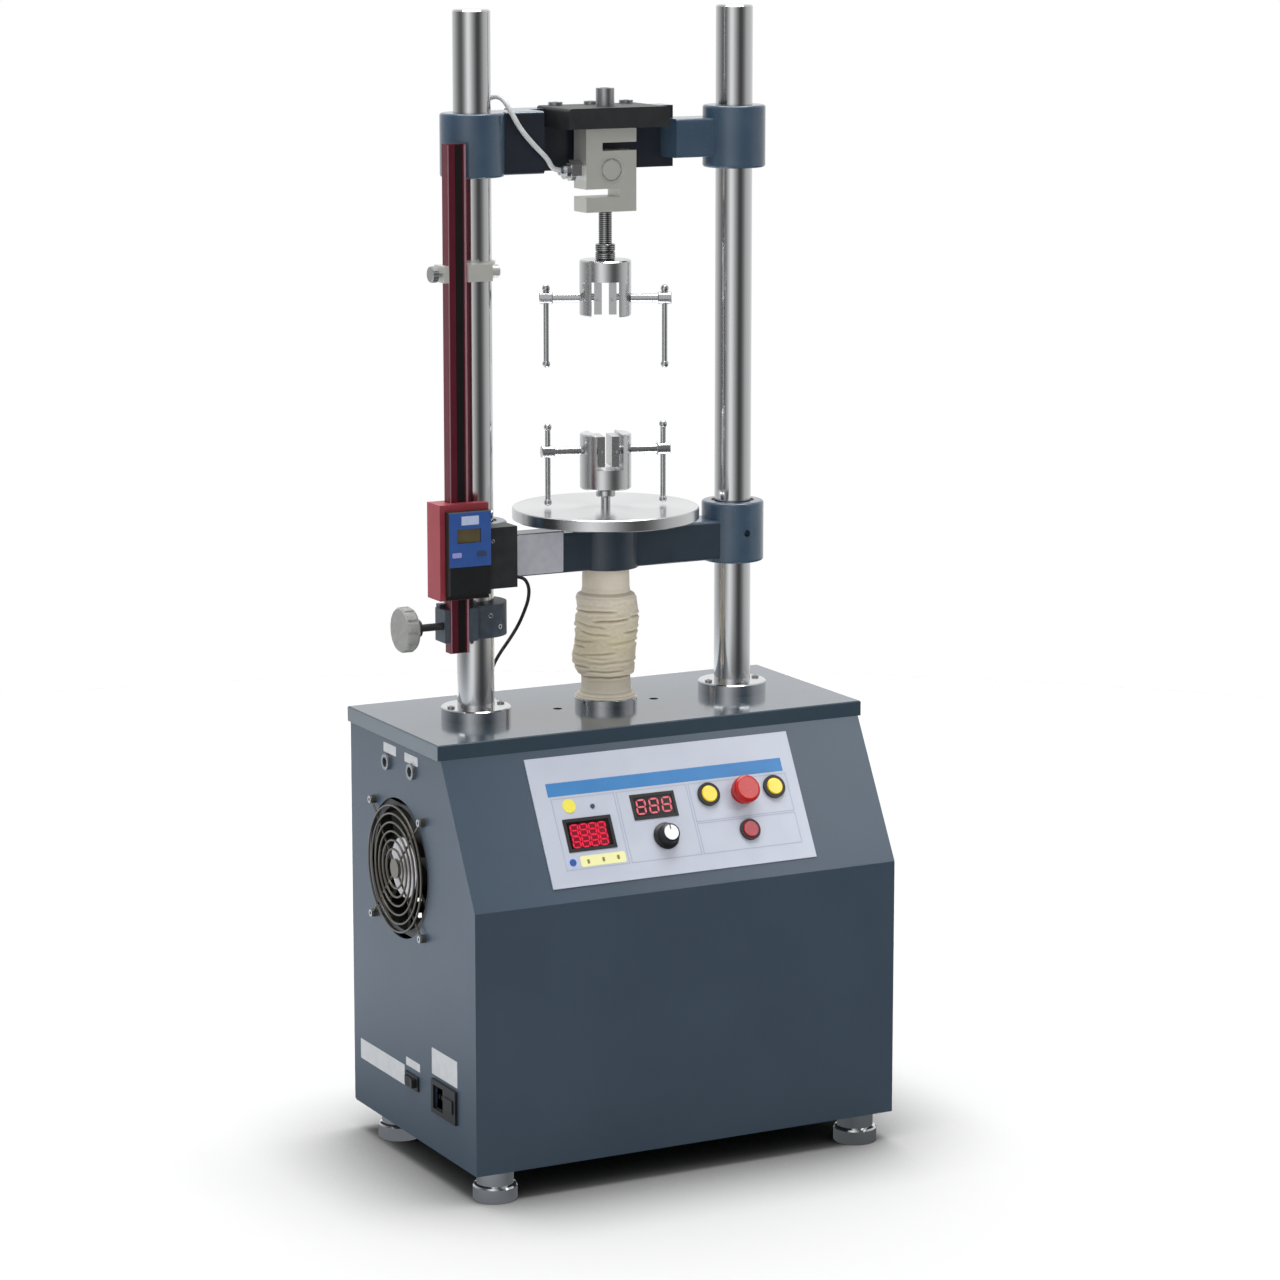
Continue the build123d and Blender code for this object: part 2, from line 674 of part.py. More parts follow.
def column(side):
    at = (side * COLUMN_X, 0)
    shaft = upright(COLUMN_RADIUS, (CABINET_TOP / 2, COLUMN_TOP), at)
    shaft = chamfer(round_edges(shaft, COLUMN_TOP), COLUMN_EDGE)
    shaft += upright(COLUMN_TAIL_RADIUS, (COLUMN_TAIL_LOW, CABINET_TOP / 2), at)
    nut = hexagon(COLUMN_NUT_RADIUS, (CABINET_TOP - COLUMN_NUT_THICK, CABINET_TOP), at)
    nut -= upright(COLUMN_TAIL_RADIUS + SNUG, (COLUMN_TAIL_LOW, 0), at)
    return [shaft, nut]


def base_flanges():
    rings = []
    for side in (-1, 1):
        ring = upright(FLANGE_RADIUS, (0, FLANGE_HIGH), (side * COLUMN_X, 0))
        ring = chamfer(round_edges(ring, FLANGE_HIGH), FLANGE_EDGE)
        through = (-FLANGE_HIGH, 2 * FLANGE_HIGH)
        rings.append(ring - upright(COLUMN_RADIUS + SNUG, through, (side * COLUMN_X, 0)))
    ring = upright(RAM_FLANGE_RADIUS, (0, RAM_FLANGE_HIGH))
    ring = chamfer(round_edges(ring, RAM_FLANGE_HIGH), FLANGE_EDGE / 2)
    rings.append(ring - upright(RAM_BORE, (-FLANGE_HIGH, 2 * FLANGE_HIGH)))
    drilled = []
    for ring in rings:
        for x, y, top in flange_screw_points():
            ring = ring - upright(SCREW_RADIUS + SNUG, (-FLANGE_HIGH, 2 * FLANGE_HIGH), (x, y))
        drilled.append(ring)
    return drilled


def fan_corners():
    return [(y * FAN_SCREW, z * FAN_SCREW) for y in (-1, 1) for z in (-1, 1)]


def machine_screws():
    screws = [Pos(x, y, top) * screw(SCREW_LENGTH) for x, y, top in flange_screw_points()]
    for x, z in cover_screw_points():
        screws.append(Pos(x, CABINET_BACK + SHEET, z) * Rot(-90, 0, 0) * screw(SHORT_SCREW_LENGTH))
    for y, z in fan_corners():
        at = (GUARD_STRUT_X - GUARD_WIRE, FAN_Y + y, FAN_Z + z)
        screws.append(Pos(*at) * Rot(0, -90, 0) * screw(SCREW_LENGTH))
    for x in (-PLATE_SCREW_X, 0, PLATE_SCREW_X):
        bolt = screw(PLATE_SCREW_LENGTH, PLATE_SCREW_RADIUS, PLATE_SCREW_HEAD, PLATE_SCREW_HIGH)
        screws.append(Pos(x, PLATE_SCREW_Y, LOAD_PLATE_Z[1]) * bolt)
    top = upright(TOP_BOLT_RADIUS, (TOP_BOLT_LOW, LOAD_PLATE_Z[1]))
    top += upright(TOP_BOLT_HEAD, (LOAD_PLATE_Z[1], TOP_BOLT_HIGH))
    top -= hexagon(TOP_BOLT_SOCKET, (TOP_BOLT_HIGH - TOP_BOLT_DEPTH, TOP_BOLT_HIGH + TOP_BOLT_DEPTH))
    screws.append(top)
    return screws


def feet():
    made = []
    for x, y in FEET_XY:
        foot = turned(FOOT_SHAPE) + upright(FOOT_STUD_RADIUS, (FOOT_HEIGHT / 2, FOOT_HEIGHT + FOOT_STUD_HIGH))
        made.append(Pos(x, y, CABINET_BOTTOM - FOOT_HEIGHT) * foot)
    return made


# Control panel

def barrel(bezel_radius):
    shape = upright(BARREL_RADIUS - SNUG, (-BARREL_DEEP, PANEL_THICK))
    shape += upright(bezel_radius, (PANEL_THICK, PANEL_THICK + BEZEL_HIGH))
    shape -= upright(CAP_RADIUS + CAP_PLAY, (BARREL_FLOOR, BARREL_DEEP))
    return shape - upright(BARREL_STEM_BORE, (-2 * BARREL_DEEP, 0))


def control_panel():
    y = (-PANEL_S[1], -PANEL_S[0])
    sheet = SLOPE.location * block(PANEL_X, y, (0, PANEL_THICK))
    for cutter in slope_cutters(0, (-SHEET, 2 * SHEET)):
        sheet -= cutter
    pieces = [sheet]
    for at in (UP_BUTTON_AT, DOWN_BUTTON_AT, STOP_BUTTON_AT):
        pieces.append(on_slope(barrel(BEZEL_RADIUS), at))
    pieces.append(on_slope(barrel(RED_BEZEL_RADIUS), RED_BUTTON_AT))
    body = upright(SPEED_BODY_RADIUS, (SPEED_BODY_Z[0], -SHEET))
    body -= upright(SPEED_SHAFT_RADIUS + HOLE_PLAY, (SPEED_SHAFT_LOW - HOLE_PLAY, SHEET))
    pieces.append(on_slope(body, SPEED_KNOB_AT))
    return pieces


def panel_displays():
    made = []
    for x, s in (COUNTER_BOX, SPEED_BOX):
        inner_x = (x[0] + SNUG, x[1] - SNUG)
        inner_y = (-s[1] + SNUG, -s[0] - SNUG)
        box = block(inner_x, inner_y, (-DISPLAY_DEEP, DISPLAY_PROUD))
        window_x = (x[0] + DISPLAY_RIM, x[1] - DISPLAY_RIM)
        window_y = (-s[1] + DISPLAY_RIM, -s[0] - DISPLAY_RIM)
        box -= block(window_x, window_y, (DISPLAY_PROUD - DISPLAY_WINDOW_DEEP, 2 * DISPLAY_PROUD))
        made.append(SLOPE.location * box)
    return made


def push_button(at):
    cap = upright(CAP_RADIUS, CAP_Z)
    cap = chamfer(round_edges(cap, CAP_Z[1]), CAP_EDGE)
    return on_slope(cap + upright(STEM_RADIUS, (STEM_LOW, CAP_Z[0])), at)


def stop_button():
    cap = upright(STOP_CAP_RADIUS, STOP_CAP_Z)
    cap = fillet(round_edges(cap, STOP_CAP_Z[1]), STOP_CAP_EDGE)
    cap += upright(CAP_RADIUS, (CAP_Z[0], STOP_CAP_Z[0]))
    return on_slope(cap + upright(STEM_RADIUS, (STEM_LOW, CAP_Z[0])), STOP_BUTTON_AT)


def speed_knob():
    knob = turned(SPEED_KNOB_SHAPE) + upright(SPEED_SHAFT_RADIUS, (SPEED_SHAFT_LOW, SPEED_KNOB_SHAPE[0][1]))
    top = SPEED_KNOB_SHAPE[-1][1]
    wide, deep = SPEED_NOTCH
    knob -= block(both(wide / 2), (deep, 3 * deep), (top - wide, top + wide))
    return on_slope(knob, SPEED_KNOB_AT)


# Left side fittings

def fan_frame():
    x = (LEFT_WALL + SHEET, LEFT_WALL + SHEET + FAN_DEEP)
    frame = block(x, (FAN_Y - FAN_HALF, FAN_Y + FAN_HALF), (FAN_Z - FAN_HALF, FAN_Z + FAN_HALF))
    frame -= along_x(FAN_BORE, (x[0] - SHEET, x[1] + SHEET), FAN_Y, FAN_Z)
    back = (x[1] - FAN_STRUT_DEEP, x[1])
    frame += along_x(FAN_HUB_RADIUS, back, FAN_Y, FAN_Z)
    reach = FAN_BORE + SHEET
    for y, z in ((reach, FAN_STRUT / 2), (FAN_STRUT / 2, reach)):
        frame += block(back, (FAN_Y - y, FAN_Y + y), (FAN_Z - z, FAN_Z + z))
    frame += along_x(FAN_AXLE, (FAN_ROTOR_X[0] + SHEET, x[1]), FAN_Y, FAN_Z)
    for y, z in fan_corners():
        frame -= along_x(SCREW_RADIUS + SNUG, (x[0] - SHEET, x[1] + SHEET), FAN_Y + y, FAN_Z + z)
    return frame


def fan_rotor():
    hub = upright(FAN_HUB_RADIUS, FAN_ROTOR_X)
    hub = fillet(round_edges(hub, FAN_ROTOR_X[0]), FAN_HUB_EDGE)
    middle = (FAN_ROTOR_X[0] + FAN_ROTOR_X[1]) / 2
    span = (FAN_HUB_RADIUS - FAN_BLADE_THICK, FAN_BLADE_TIP)
    for step in range(FAN_BLADES):
        blade = block(span, both(FAN_BLADE_WIDE / 2), both(FAN_BLADE_THICK / 2))
        hub += Pos(0, 0, middle) * Rot(0, 0, step * 360 / FAN_BLADES) * Rot(FAN_BLADE_PITCH, 0, 0) * blade
    hub -= upright(FAN_AXLE + RUNNING, (FAN_ROTOR_X[0] + SHEET - CLEAR, FAN_ROTOR_X[1] + SHEET))
    return Pos(0, FAN_Y, FAN_Z) * Rot(0, 90, 0) * hub


def fan_guard():
    guard = None
    for share in GUARD_RING_SHARES:
        ring = Pos(GUARD_X, FAN_Y, FAN_Z) * Rot(0, 90, 0) * Torus(share * GUARD_OUTER, GUARD_WIRE)
        guard = ring if guard is None else guard + ring
    plate = (GUARD_X - GUARD_WIRE / 2, GUARD_STRUT_X + GUARD_WIRE)
    guard += along_x(GUARD_CENTRE_RADIUS, plate, FAN_Y, FAN_Z)
    reach = FAN_SCREW * 2 ** (1 / 2)
    for spoke in range(GUARD_SPOKES):
        strut = along_y(GUARD_WIRE - SNUG, (GUARD_CENTRE_RADIUS / 2, reach), 0, 0)
        turn = GUARD_SPOKE_TURN + spoke * 360 / GUARD_SPOKES
        guard += Pos(GUARD_STRUT_X, FAN_Y, FAN_Z) * Rot(turn, 0, 0) * strut
    for y, z in fan_corners():
        eye = (GUARD_STRUT_X - GUARD_WIRE, LEFT_WALL)
        guard += along_x(GUARD_EYE_RADIUS, eye, FAN_Y + y, FAN_Z + z)
    through = (GUARD_X - GUARD_EYE_RADIUS, LEFT_WALL + SHEET)
    for y, z in fan_corners():
        guard -= along_x(SCREW_RADIUS + HOLE_PLAY, through, FAN_Y + y, FAN_Z + z)
    return guard


def power_inlet():
    outside = (LEFT_WALL - INLET_PROUD, LEFT_WALL)
    body = block(outside, INLET_Y, INLET_Z)
    inner_y = (INLET_Y[0] + INLET_RIM, INLET_Y[1] - INLET_RIM)
    inner_z = (INLET_Z[0] + INLET_RIM, INLET_Z[1] - INLET_RIM)
    body += block((LEFT_WALL, LEFT_WALL + INLET_DEEP), inner_y, inner_z)
    well = (outside[0] - INLET_PROUD, outside[0] + INLET_WELL_DEEP)
    body -= block(well, INLET_WELL_Y, inner_z)
    middle = (INLET_Z[0] + INLET_Z[1]) / 2
    for y in INLET_PIN_Y:
        side = (y - INLET_PIN_THICK / 2, y + INLET_PIN_THICK / 2)
        body += block((outside[0] + INLET_WELL_DEEP - INLET_PIN_REACH, well[1] + SHEET), side,
                      (middle - INLET_PIN_HIGH / 2, middle + INLET_PIN_HIGH / 2))
    body += block((outside[0] - FUSE_DRAWER_PROUD, outside[0]), FUSE_DRAWER_Y, FUSE_DRAWER_Z)
    return [body, switch_frame()]


def switch_frame():
    outside = (LEFT_WALL - SWITCH_PROUD, LEFT_WALL)
    frame = block(outside, SWITCH_Y, SWITCH_Z)
    inner_y = (SWITCH_Y[0] + SWITCH_RIM, SWITCH_Y[1] - SWITCH_RIM)
    inner_z = (SWITCH_Z[0] + SWITCH_RIM, SWITCH_Z[1] - SWITCH_RIM)
    frame += block((LEFT_WALL, LEFT_WALL + SWITCH_DEEP), inner_y, inner_z)
    y = (SWITCH_Y[0] + SWITCH_Y[1]) / 2
    z = (SWITCH_Z[0] + SWITCH_Z[1]) / 2
    half_y = ROCKER_HALF_Y + ROCKER_PLAY
    half_z = ROCKER_HALF_Z + HOLE_PLAY
    well = (LEFT_WALL - SWITCH_DEEP, ROCKER_PIVOT_X + SWITCH_DEEP / 2)
    frame -= block(well, (y - half_y, y + half_y), (z - half_z, z + half_z))
    return frame + Pos(ROCKER_PIVOT_X, y, z) * Cylinder(ROCKER_PIN, 2 * half_z)


def power_rocker():
    y = (SWITCH_Y[0] + SWITCH_Y[1]) / 2
    z = (SWITCH_Z[0] + SWITCH_Z[1]) / 2
    outer, inner = ROCKER_X
    corners = (
        (outer, -ROCKER_HALF_Y), (outer + ROCKER_DIP, 0), (outer, ROCKER_HALF_Y),
        (inner - 2 * ROCKER_DIP, ROCKER_HALF_Y), (inner + 2 * ROCKER_DIP, ROCKER_HALF_Y / 3),
        (inner + 2 * ROCKER_DIP, -ROCKER_HALF_Y / 3), (inner - 2 * ROCKER_DIP, -ROCKER_HALF_Y),
    )
    outline = Polyline(*[(x, side, 0) for x, side in corners], close=True)
    rocker = Pos(0, 0, -ROCKER_HALF_Z) * extrude(make_face(outline), 2 * ROCKER_HALF_Z, dir=(0, 0, 1))
    rocker -= upright(ROCKER_PIN + RUNNING, both(ROCKER_HALF_Y), (ROCKER_PIVOT_X, 0))
    rocker = Pos(-ROCKER_PIVOT_X, 0, 0) * rocker
    return Pos(ROCKER_PIVOT_X, y, z) * Rot(0, 0, ROCKER_TILT) * rocker


def signal_sockets():
    made = []
    for y, z in SOCKETS_YZ:
        socket = along_x(SOCKET_RADIUS, (LEFT_WALL - SOCKET_PROUD, LEFT_WALL), y, z)
        socket += along_x(SOCKET_BODY_RADIUS, (LEFT_WALL, LEFT_WALL + SOCKET_DEEP), y, z)
        floor = LEFT_WALL - SOCKET_PROUD + SOCKET_WELL_DEEP
        socket -= along_x(SOCKET_WELL, (LEFT_WALL - 2 * SOCKET_PROUD, floor), y, z)
        for step in range(SOCKET_PIN_COUNT):
            angle = radians(step * 360 / SOCKET_PIN_COUNT)
            across, up = SOCKET_PIN_CIRCLE * cos(angle), SOCKET_PIN_CIRCLE * sin(angle)
            socket += along_x(SOCKET_PIN, (LEFT_WALL - SOCKET_PROUD / 2, floor + SHEET), y + across, z + up)
        made.append(socket)
    return made


# Upper crosshead and the load string

def hubs(high):
    shape = None
    for side in (-1, 1):
        hub = upright(HUB_RADIUS, high, (side * COLUMN_X, 0))
        hub = fillet(round_edges(hub, high[0]) + round_edges(hub, high[1]), HUB_EDGE)
        shape = hub if shape is None else shape + hub
    return shape


def cast_arm(x, y, z):
    # A bar of the casting whose front edges are rounded
    arm = block(x, y, z)
    edges = arm.edges().filter_by(Axis.X).filter_by_position(Axis.Y, y[0] - SNUG, y[0] + SNUG)
    return fillet(edges, ARM_EDGE)


def upper_crosshead():
    head = hubs(UPPER_HUB)
    head += cast_arm((-COLUMN_X, -RECESS_X), UPPER_ARM_Y, BRIDGE_HIGH)
    head += cast_arm((RECESS_X, COLUMN_X), UPPER_ARM_Y, UPPER_ARM_HIGH)
    corner_y = (UPPER_ARM_Y[0], BRIDGE_Y[1])
    head += cast_arm((-BRIDGE_X, -RECESS_X), corner_y, BRIDGE_HIGH)
    head += cast_arm((RECESS_X, BRIDGE_X), corner_y, UPPER_ARM_HIGH)
    head += block(both(BRIDGE_X), BRIDGE_Y, BRIDGE_HIGH)
    head -= block(both(LOAD_PLATE_X + SNUG), (0, LOAD_PLATE_Y[1] + SNUG), (LOAD_PLATE_Z[0], LOAD_PLATE_Z[1]))
    tapped = (LOAD_PLATE_Z[1] - PLATE_SCREW_LENGTH, LOAD_PLATE_Z[1])
    for x in (-PLATE_SCREW_X, 0, PLATE_SCREW_X):
        head -= upright(PLATE_SCREW_RADIUS + SNUG, tapped, (x, PLATE_SCREW_Y))
    for side in (-1, 1):
        x = side * COLUMN_X
        lug = (UPPER_HUB[0] + CLAMP_LUG_HIGH, UPPER_HUB[1] - CLAMP_LUG_HIGH)
        head += block((x - CLAMP_LUG_X, x + CLAMP_LUG_X), (COLUMN_RADIUS, CLAMP_LUG_Y), lug)
        head -= upright(COLUMN_RADIUS + SNUG, (UPPER_HUB[0] - HUB_EDGE, UPPER_HUB[1] + HUB_EDGE), (x, 0))
        slit = (x - CLAMP_SLIT / 2, x + CLAMP_SLIT / 2)
        head -= block(slit, (0, CLAMP_LUG_Y + SHEET), (UPPER_HUB[0] - SHEET, UPPER_HUB[1] + SHEET))
        wide = (x - CLAMP_LUG_X - SHEET, x + CLAMP_LUG_X + SHEET)
        head -= along_x(SADDLE_SCREW_RADIUS + SNUG, wide, CLAMP_SCREW_Y, (UPPER_HUB[0] + UPPER_HUB[1]) / 2)
    return head


def clamp_screws():
    made = []
    middle = (UPPER_HUB[0] + UPPER_HUB[1]) / 2
    for side in (-1, 1):
        x = side * COLUMN_X
        made.append(along_x(SADDLE_SCREW_RADIUS, (x - CLAMP_LUG_X, x + CLAMP_LUG_X), CLAMP_SCREW_Y, middle))
    return made


def load_plate():
    plate = block(both(LOAD_PLATE_X), LOAD_PLATE_Y, LOAD_PLATE_Z)
    edges = plate.edges().filter_by(Axis.Y)
    edges = edges.filter_by_position(Axis.Z, LOAD_PLATE_Z[1] - SNUG, LOAD_PLATE_Z[1] + SNUG)
    plate = fillet(edges, LOAD_PLATE_EDGE)
    reach = (LOAD_PLATE_Z[0] - SHEET, LOAD_PLATE_Z[1] + SHEET)
    plate -= upright(TOP_BOLT_RADIUS + SNUG, reach)
    for x in (-PLATE_SCREW_X, 0, PLATE_SCREW_X):
        plate -= upright(PLATE_SCREW_RADIUS + SNUG, reach, (x, PLATE_SCREW_Y))
    return plate


def load_cell():
    cell = block(both(CELL_X), both(CELL_Y), CELL_Z)
    half = CELL_SLOT_HIGH / 2
    slot_y = both(CELL_Y + SHEET)
    cell -= block((-CELL_SLOT_END, CELL_X + SHEET), slot_y, (CELL_UPPER_SLOT - half, CELL_UPPER_SLOT + half))
    cell -= block((-CELL_X - SHEET, CELL_SLOT_END), slot_y, (CELL_LOWER_SLOT - half, CELL_LOWER_SLOT + half))
    pieces = []
    for side in (-1, 1):
        face = side * CELL_Y
        floor = face - side * CELL_BORE_DEPTH
        cell -= along_y(CELL_BORE_RADIUS, sorted((floor, face + side)), 0, CELL_CENTRE)
        ends = sorted((floor, floor + side * CELL_PLUG_RING))
        plug = along_y(CELL_BORE_RADIUS - SNUG, ends, 0, CELL_CENTRE)
        plug -= along_y(CELL_PLUG_DISC + SHEET, sorted((floor + side, face)), 0, CELL_CENTRE)
        plug += along_y(CELL_PLUG_DISC, sorted((floor, face + side / 2)), 0, CELL_CENTRE)
        pieces.append(plug)
    cell -= upright(TOP_BOLT_RADIUS + SNUG, (TOP_BOLT_LOW - HOLE_PLAY, CELL_Z[1] + SHEET))
    cell -= upright(STUD_RADIUS + SNUG, (CELL_Z[0] - SHEET, STUD_Z[1] + HOLE_PLAY))
    return [cell] + pieces


def load_stud():
    pieces = [upright(STUD_RADIUS, STUD_Z)]
    for z in LOCK_NUTS_Z:
        nut = upright(LOCK_NUT_RADIUS, z)
        nut = chamfer(round_edges(nut, z[0]) + round_edges(nut, z[1]), SPINDLE_EDGE)
        pieces.append(nut - upright(STUD_RADIUS + SNUG, (z[0] - SHEET, z[1] + SHEET)))
    return pieces


# Vice grips, made once with the open face at zero and the body above it

def grip_body(stud_radius, stud_depth):
    body = upright(GRIP_RADIUS, (0, GRIP_HIGH))
    body = chamfer(round_edges(body, 0) + round_edges(body, GRIP_HIGH), GRIP_EDGE)
    body -= block(both(GRIP_SLOT_X), both(2 * GRIP_RADIUS), (-GRIP_HIGH, GRIP_SLOT_DEEP))
    body -= along_x(SPINDLE_RADIUS + RUNNING, both(2 * GRIP_RADIUS), 0, GRIP_SPINDLE_DEPTH)
    return body - upright(stud_radius + SNUG, (GRIP_HIGH - stud_depth, GRIP_HIGH + SHEET))


def jaw(side):
    x = sorted((side * JAW_X[0], side * JAW_X[1]))
    z = (GRIP_SPINDLE_DEPTH - JAW_HIGH / 2, GRIP_SPINDLE_DEPTH + JAW_HIGH / 2)
    shape = block(x, both(JAW_Y), z)
    bore = sorted((side * (JAW_X[1] - JAW_BORE_DEPTH), side * (JAW_X[1] + SHEET)))
    shape -= along_x(SPINDLE_RADIUS + RUNNING, bore, 0, GRIP_SPINDLE_DEPTH)
    middle = (x[0] + x[1]) / 2
    screw_y = (-JAW_Y - SHEET, -JAW_Y + JAW_SCREW_DEPTH)
    return shape - along_y(JAW_SCREW_RADIUS, screw_y, middle, GRIP_SPINDLE_DEPTH)


def spindle(side):
    rod_x = sorted((side * SPINDLE_TIP, side * SPINDLE_HEAD_X[0]))
    head_x = sorted((side * SPINDLE_HEAD_X[0], side * SPINDLE_HEAD_X[1]))
    head = along_x(SPINDLE_HEAD_RADIUS, head_x, 0, GRIP_SPINDLE_DEPTH)
    head = chamfer(head.edges().filter_by(GeomType.CIRCLE), SPINDLE_EDGE)
    head += along_x(SPINDLE_RADIUS, rod_x, 0, GRIP_SPINDLE_DEPTH)
    middle = (head_x[0] + head_x[1]) / 2
    return head - upright(BAR_RADIUS + RUNNING, both(GRIP_HIGH), (middle, 0))


def bar(side, drop):
    middle = side * (SPINDLE_HEAD_X[0] + SPINDLE_HEAD_X[1]) / 2
    shape = upright(BAR_RADIUS, both(BAR_BALL_OFFSET), (middle, 0))
    for end in (-BAR_BALL_OFFSET, BAR_BALL_OFFSET):
        shape += Pos(middle, 0, end) * Sphere(BAR_BALL_RADIUS)
    return Pos(0, 0, GRIP_SPINDLE_DEPTH + drop) * shape


def upper_place(shape):
    return Pos(0, 0, UPPER_GRIP_FACE) * Rot(0, 0, UPPER_GRIP_TURN) * shape


def lower_place(shape):
    return Pos(0, 0, LOWER_GRIP_FACE) * Rot(0, 0, LOWER_GRIP_TURN) * Rot(0, 180, 0) * shape


# Lower crosshead and what rides on it

def lower_crosshead():
    head = hubs(LOWER_HUB)
    head += cast_arm(both(COLUMN_X), both(LOWER_ARM_Y), LOWER_ARM_HIGH)
    head += upright(BOSS_RADIUS, (LOWER_ARM_HIGH[0], BOSS_TOP))
    head += upright(SPIGOT_RADIUS, (SPIGOT_LOW, LOWER_ARM_HIGH[0]))
    screw_y = (-HUB_RADIUS - SHEET, -HUB_RADIUS + HUB_SCREW_DEPTH)
    middle = (LOWER_HUB[0] + LOWER_HUB[1]) / 2
    for side in (-1, 1):
        at = (side * COLUMN_X, 0)
        head -= upright(COLUMN_RADIUS + BUSH_WALL, (LOWER_HUB[0] - SHEET, LOWER_HUB[1] + SHEET), at)
        head -= along_y(HUB_SCREW_RADIUS, screw_y, at[0], middle)
    head -= upright(RAM_RADIUS + SNUG, (SPIGOT_LOW - SHEET, RAM_Z[1] + SNUG))
    return head - upright(LOWER_STUD_RADIUS + SNUG, (LOWER_STUD_Z[0] - SNUG, BOSS_TOP + SHEET))


def column_bushings():
    made = []
    for side in (-1, 1):
        at = (side * COLUMN_X, 0)
        z = (LOWER_HUB[0] + BUSH_INSET, LOWER_HUB[1] - BUSH_INSET)
        bush = upright(COLUMN_RADIUS + BUSH_WALL - SNUG, z, at)
        made.append(bush - upright(COLUMN_RADIUS + RUNNING, (z[0] - SHEET, z[1] + SHEET), at))
    return made


def platen():
    disc = upright(PLATEN_RADIUS, PLATEN_Z)
    disc = chamfer(round_edges(disc, PLATEN_Z[0]) + round_edges(disc, PLATEN_Z[1]), PLATEN_EDGE)
    return disc - upright(LOWER_STUD_RADIUS + SNUG, (PLATEN_Z[0] - SHEET, PLATEN_Z[1] + SHEET))


def lower_stud():
    stud = upright(LOWER_STUD_RADIUS, LOWER_STUD_Z)
    nut = upright(LOWER_NUT_RADIUS, LOWER_NUT_Z)
    nut = chamfer(round_edges(nut, LOWER_NUT_Z[0]) + round_edges(nut, LOWER_NUT_Z[1]), SPINDLE_EDGE)
    nut -= upright(LOWER_STUD_RADIUS + SNUG, LOWER_STUD_Z)
    return [stud, nut]


def ram_screw():
    screw_rod = upright(RAM_RADIUS, RAM_Z)
    return chamfer(round_edges(screw_rod, RAM_Z[0]), RAM_EDGE)


def readout_slider():
    slider = block(SLIDER_X, SLIDER_FRONT_Y, SLIDER_Z)
    slider += block((SLIDER_X[0], SLIDER_CHEEK_X), (SLIDER_FRONT_Y[0], SLIDER_HOOK_Y[1]), SLIDER_Z)
    slider += block((SLIDER_X[0], SLIDER_HOOK_X), SLIDER_HOOK_Y, SLIDER_Z)
    bracket = block(BRACKET_X, BRACKET_Y, BRACKET_Z)
    bracket -= upright(HUB_RADIUS + SNUG, LOWER_HUB, (-COLUMN_X, 0))
    bracket -= upright(PLATEN_RADIUS + CLEAR, (PLATEN_Z[0] - CLEAR, PLATEN_Z[1]))
    bracket -= along_x(READOUT_CABLE_RADIUS + CLEAR, (READOUT_CABLE_POINTS[0][0] - CLEAR, BRACKET_X[1] + SHEET),
                       READOUT_CABLE_POINTS[0][1], READOUT_CABLE_POINTS[0][2])
    return [slider, bracket]


def readout_housing():
    case = block(READOUT_X, READOUT_Y, READOUT_Z)
    edges = case.edges().filter_by_position(Axis.Y, READOUT_Y[0] - SNUG, READOUT_Y[0] + SNUG)
    case = chamfer(edges, READOUT_EDGE)
    window_y = (READOUT_Y[0] - SHEET, READOUT_Y[0] + READOUT_WINDOW_DEEP)
    return case - block(READOUT_WINDOW_X, window_y, READOUT_WINDOW_Z)


# Scale beam, brackets and their knobs

def scale_beam():
    beam = block(BEAM_X, BEAM_Y, BEAM_Z)
    groove = (BEAM_Y[0] - SHEET, BEAM_Y[0] + BEAM_STRIP_DEEP)
    return beam - block(BEAM_STRIP_X, groove, (BEAM_Z[0] - SHEET, BEAM_Z[1] + SHEET))


def scale_brackets():
    lower = upright(CLAMP_RING_RADIUS, CLAMP_Z, (-COLUMN_X, 0))
    lower += block(CLAMP_ARM_X, CLAMP_ARM_Y, CLAMP_Z)
    lower += block(CLAMP_CHEEK_X, CLAMP_CHEEK_Y, CLAMP_Z)
    lower += block(CLAMP_LIP_X, CLAMP_CHEEK_Y, CLAMP_Z)
    lower += block(CLAMP_POST_X, CLAMP_POST_Y, (CLAMP_Z[0], CLAMP_POST_TOP))
    lower -= upright(COLUMN_RADIUS + SNUG, (CLAMP_Z[0] - SHEET, CLAMP_Z[1] + SHEET), (-COLUMN_X, 0))
    lower -= along_x(KNOB_SCREW_BORE, (CLAMP_CHEEK_X[0] - SHEET, CLAMP_CHEEK_X[1] + SHEET), KNOB_Y, KNOB_Z)
    upper = upright(COLLAR_RADIUS, COLLAR_Z, (-COLUMN_X, 0))
    upper += block(COLLAR_BLOCK_X, COLLAR_BLOCK_Y, COLLAR_Z)
    upper += block((COLLAR_ARM_X[0], COLLAR_BLOCK_X[1]), COLLAR_BACK_Y, COLLAR_Z)
    upper += block(COLLAR_ARM_X, (COLLAR_BLOCK_Y[0], COLLAR_BACK_Y[1]), COLLAR_Z)
    upper += along_x(COLLAR_HEAD_RADIUS, COLLAR_HEAD_X, COLLAR_HEAD_Y, THUMB_Z)
    upper -= upright(COLUMN_RADIUS + SNUG, (COLLAR_Z[0] - SHEET, COLLAR_Z[1] + SHEET), (-COLUMN_X, 0))
    upper -= along_x(THUMB_BORE, (COLLAR_ARM_X[0] - SHEET, COLLAR_ARM_X[1] + HOLE_PLAY), THUMB_Y, THUMB_Z)
    return [lower, upper]


def fluted(shape, count, circle, radius, high):
    for step in range(count):
        angle = radians(step * 360 / count)
        shape -= upright(radius, (-SHEET, high), (circle * cos(angle), circle * sin(angle)))
    return shape


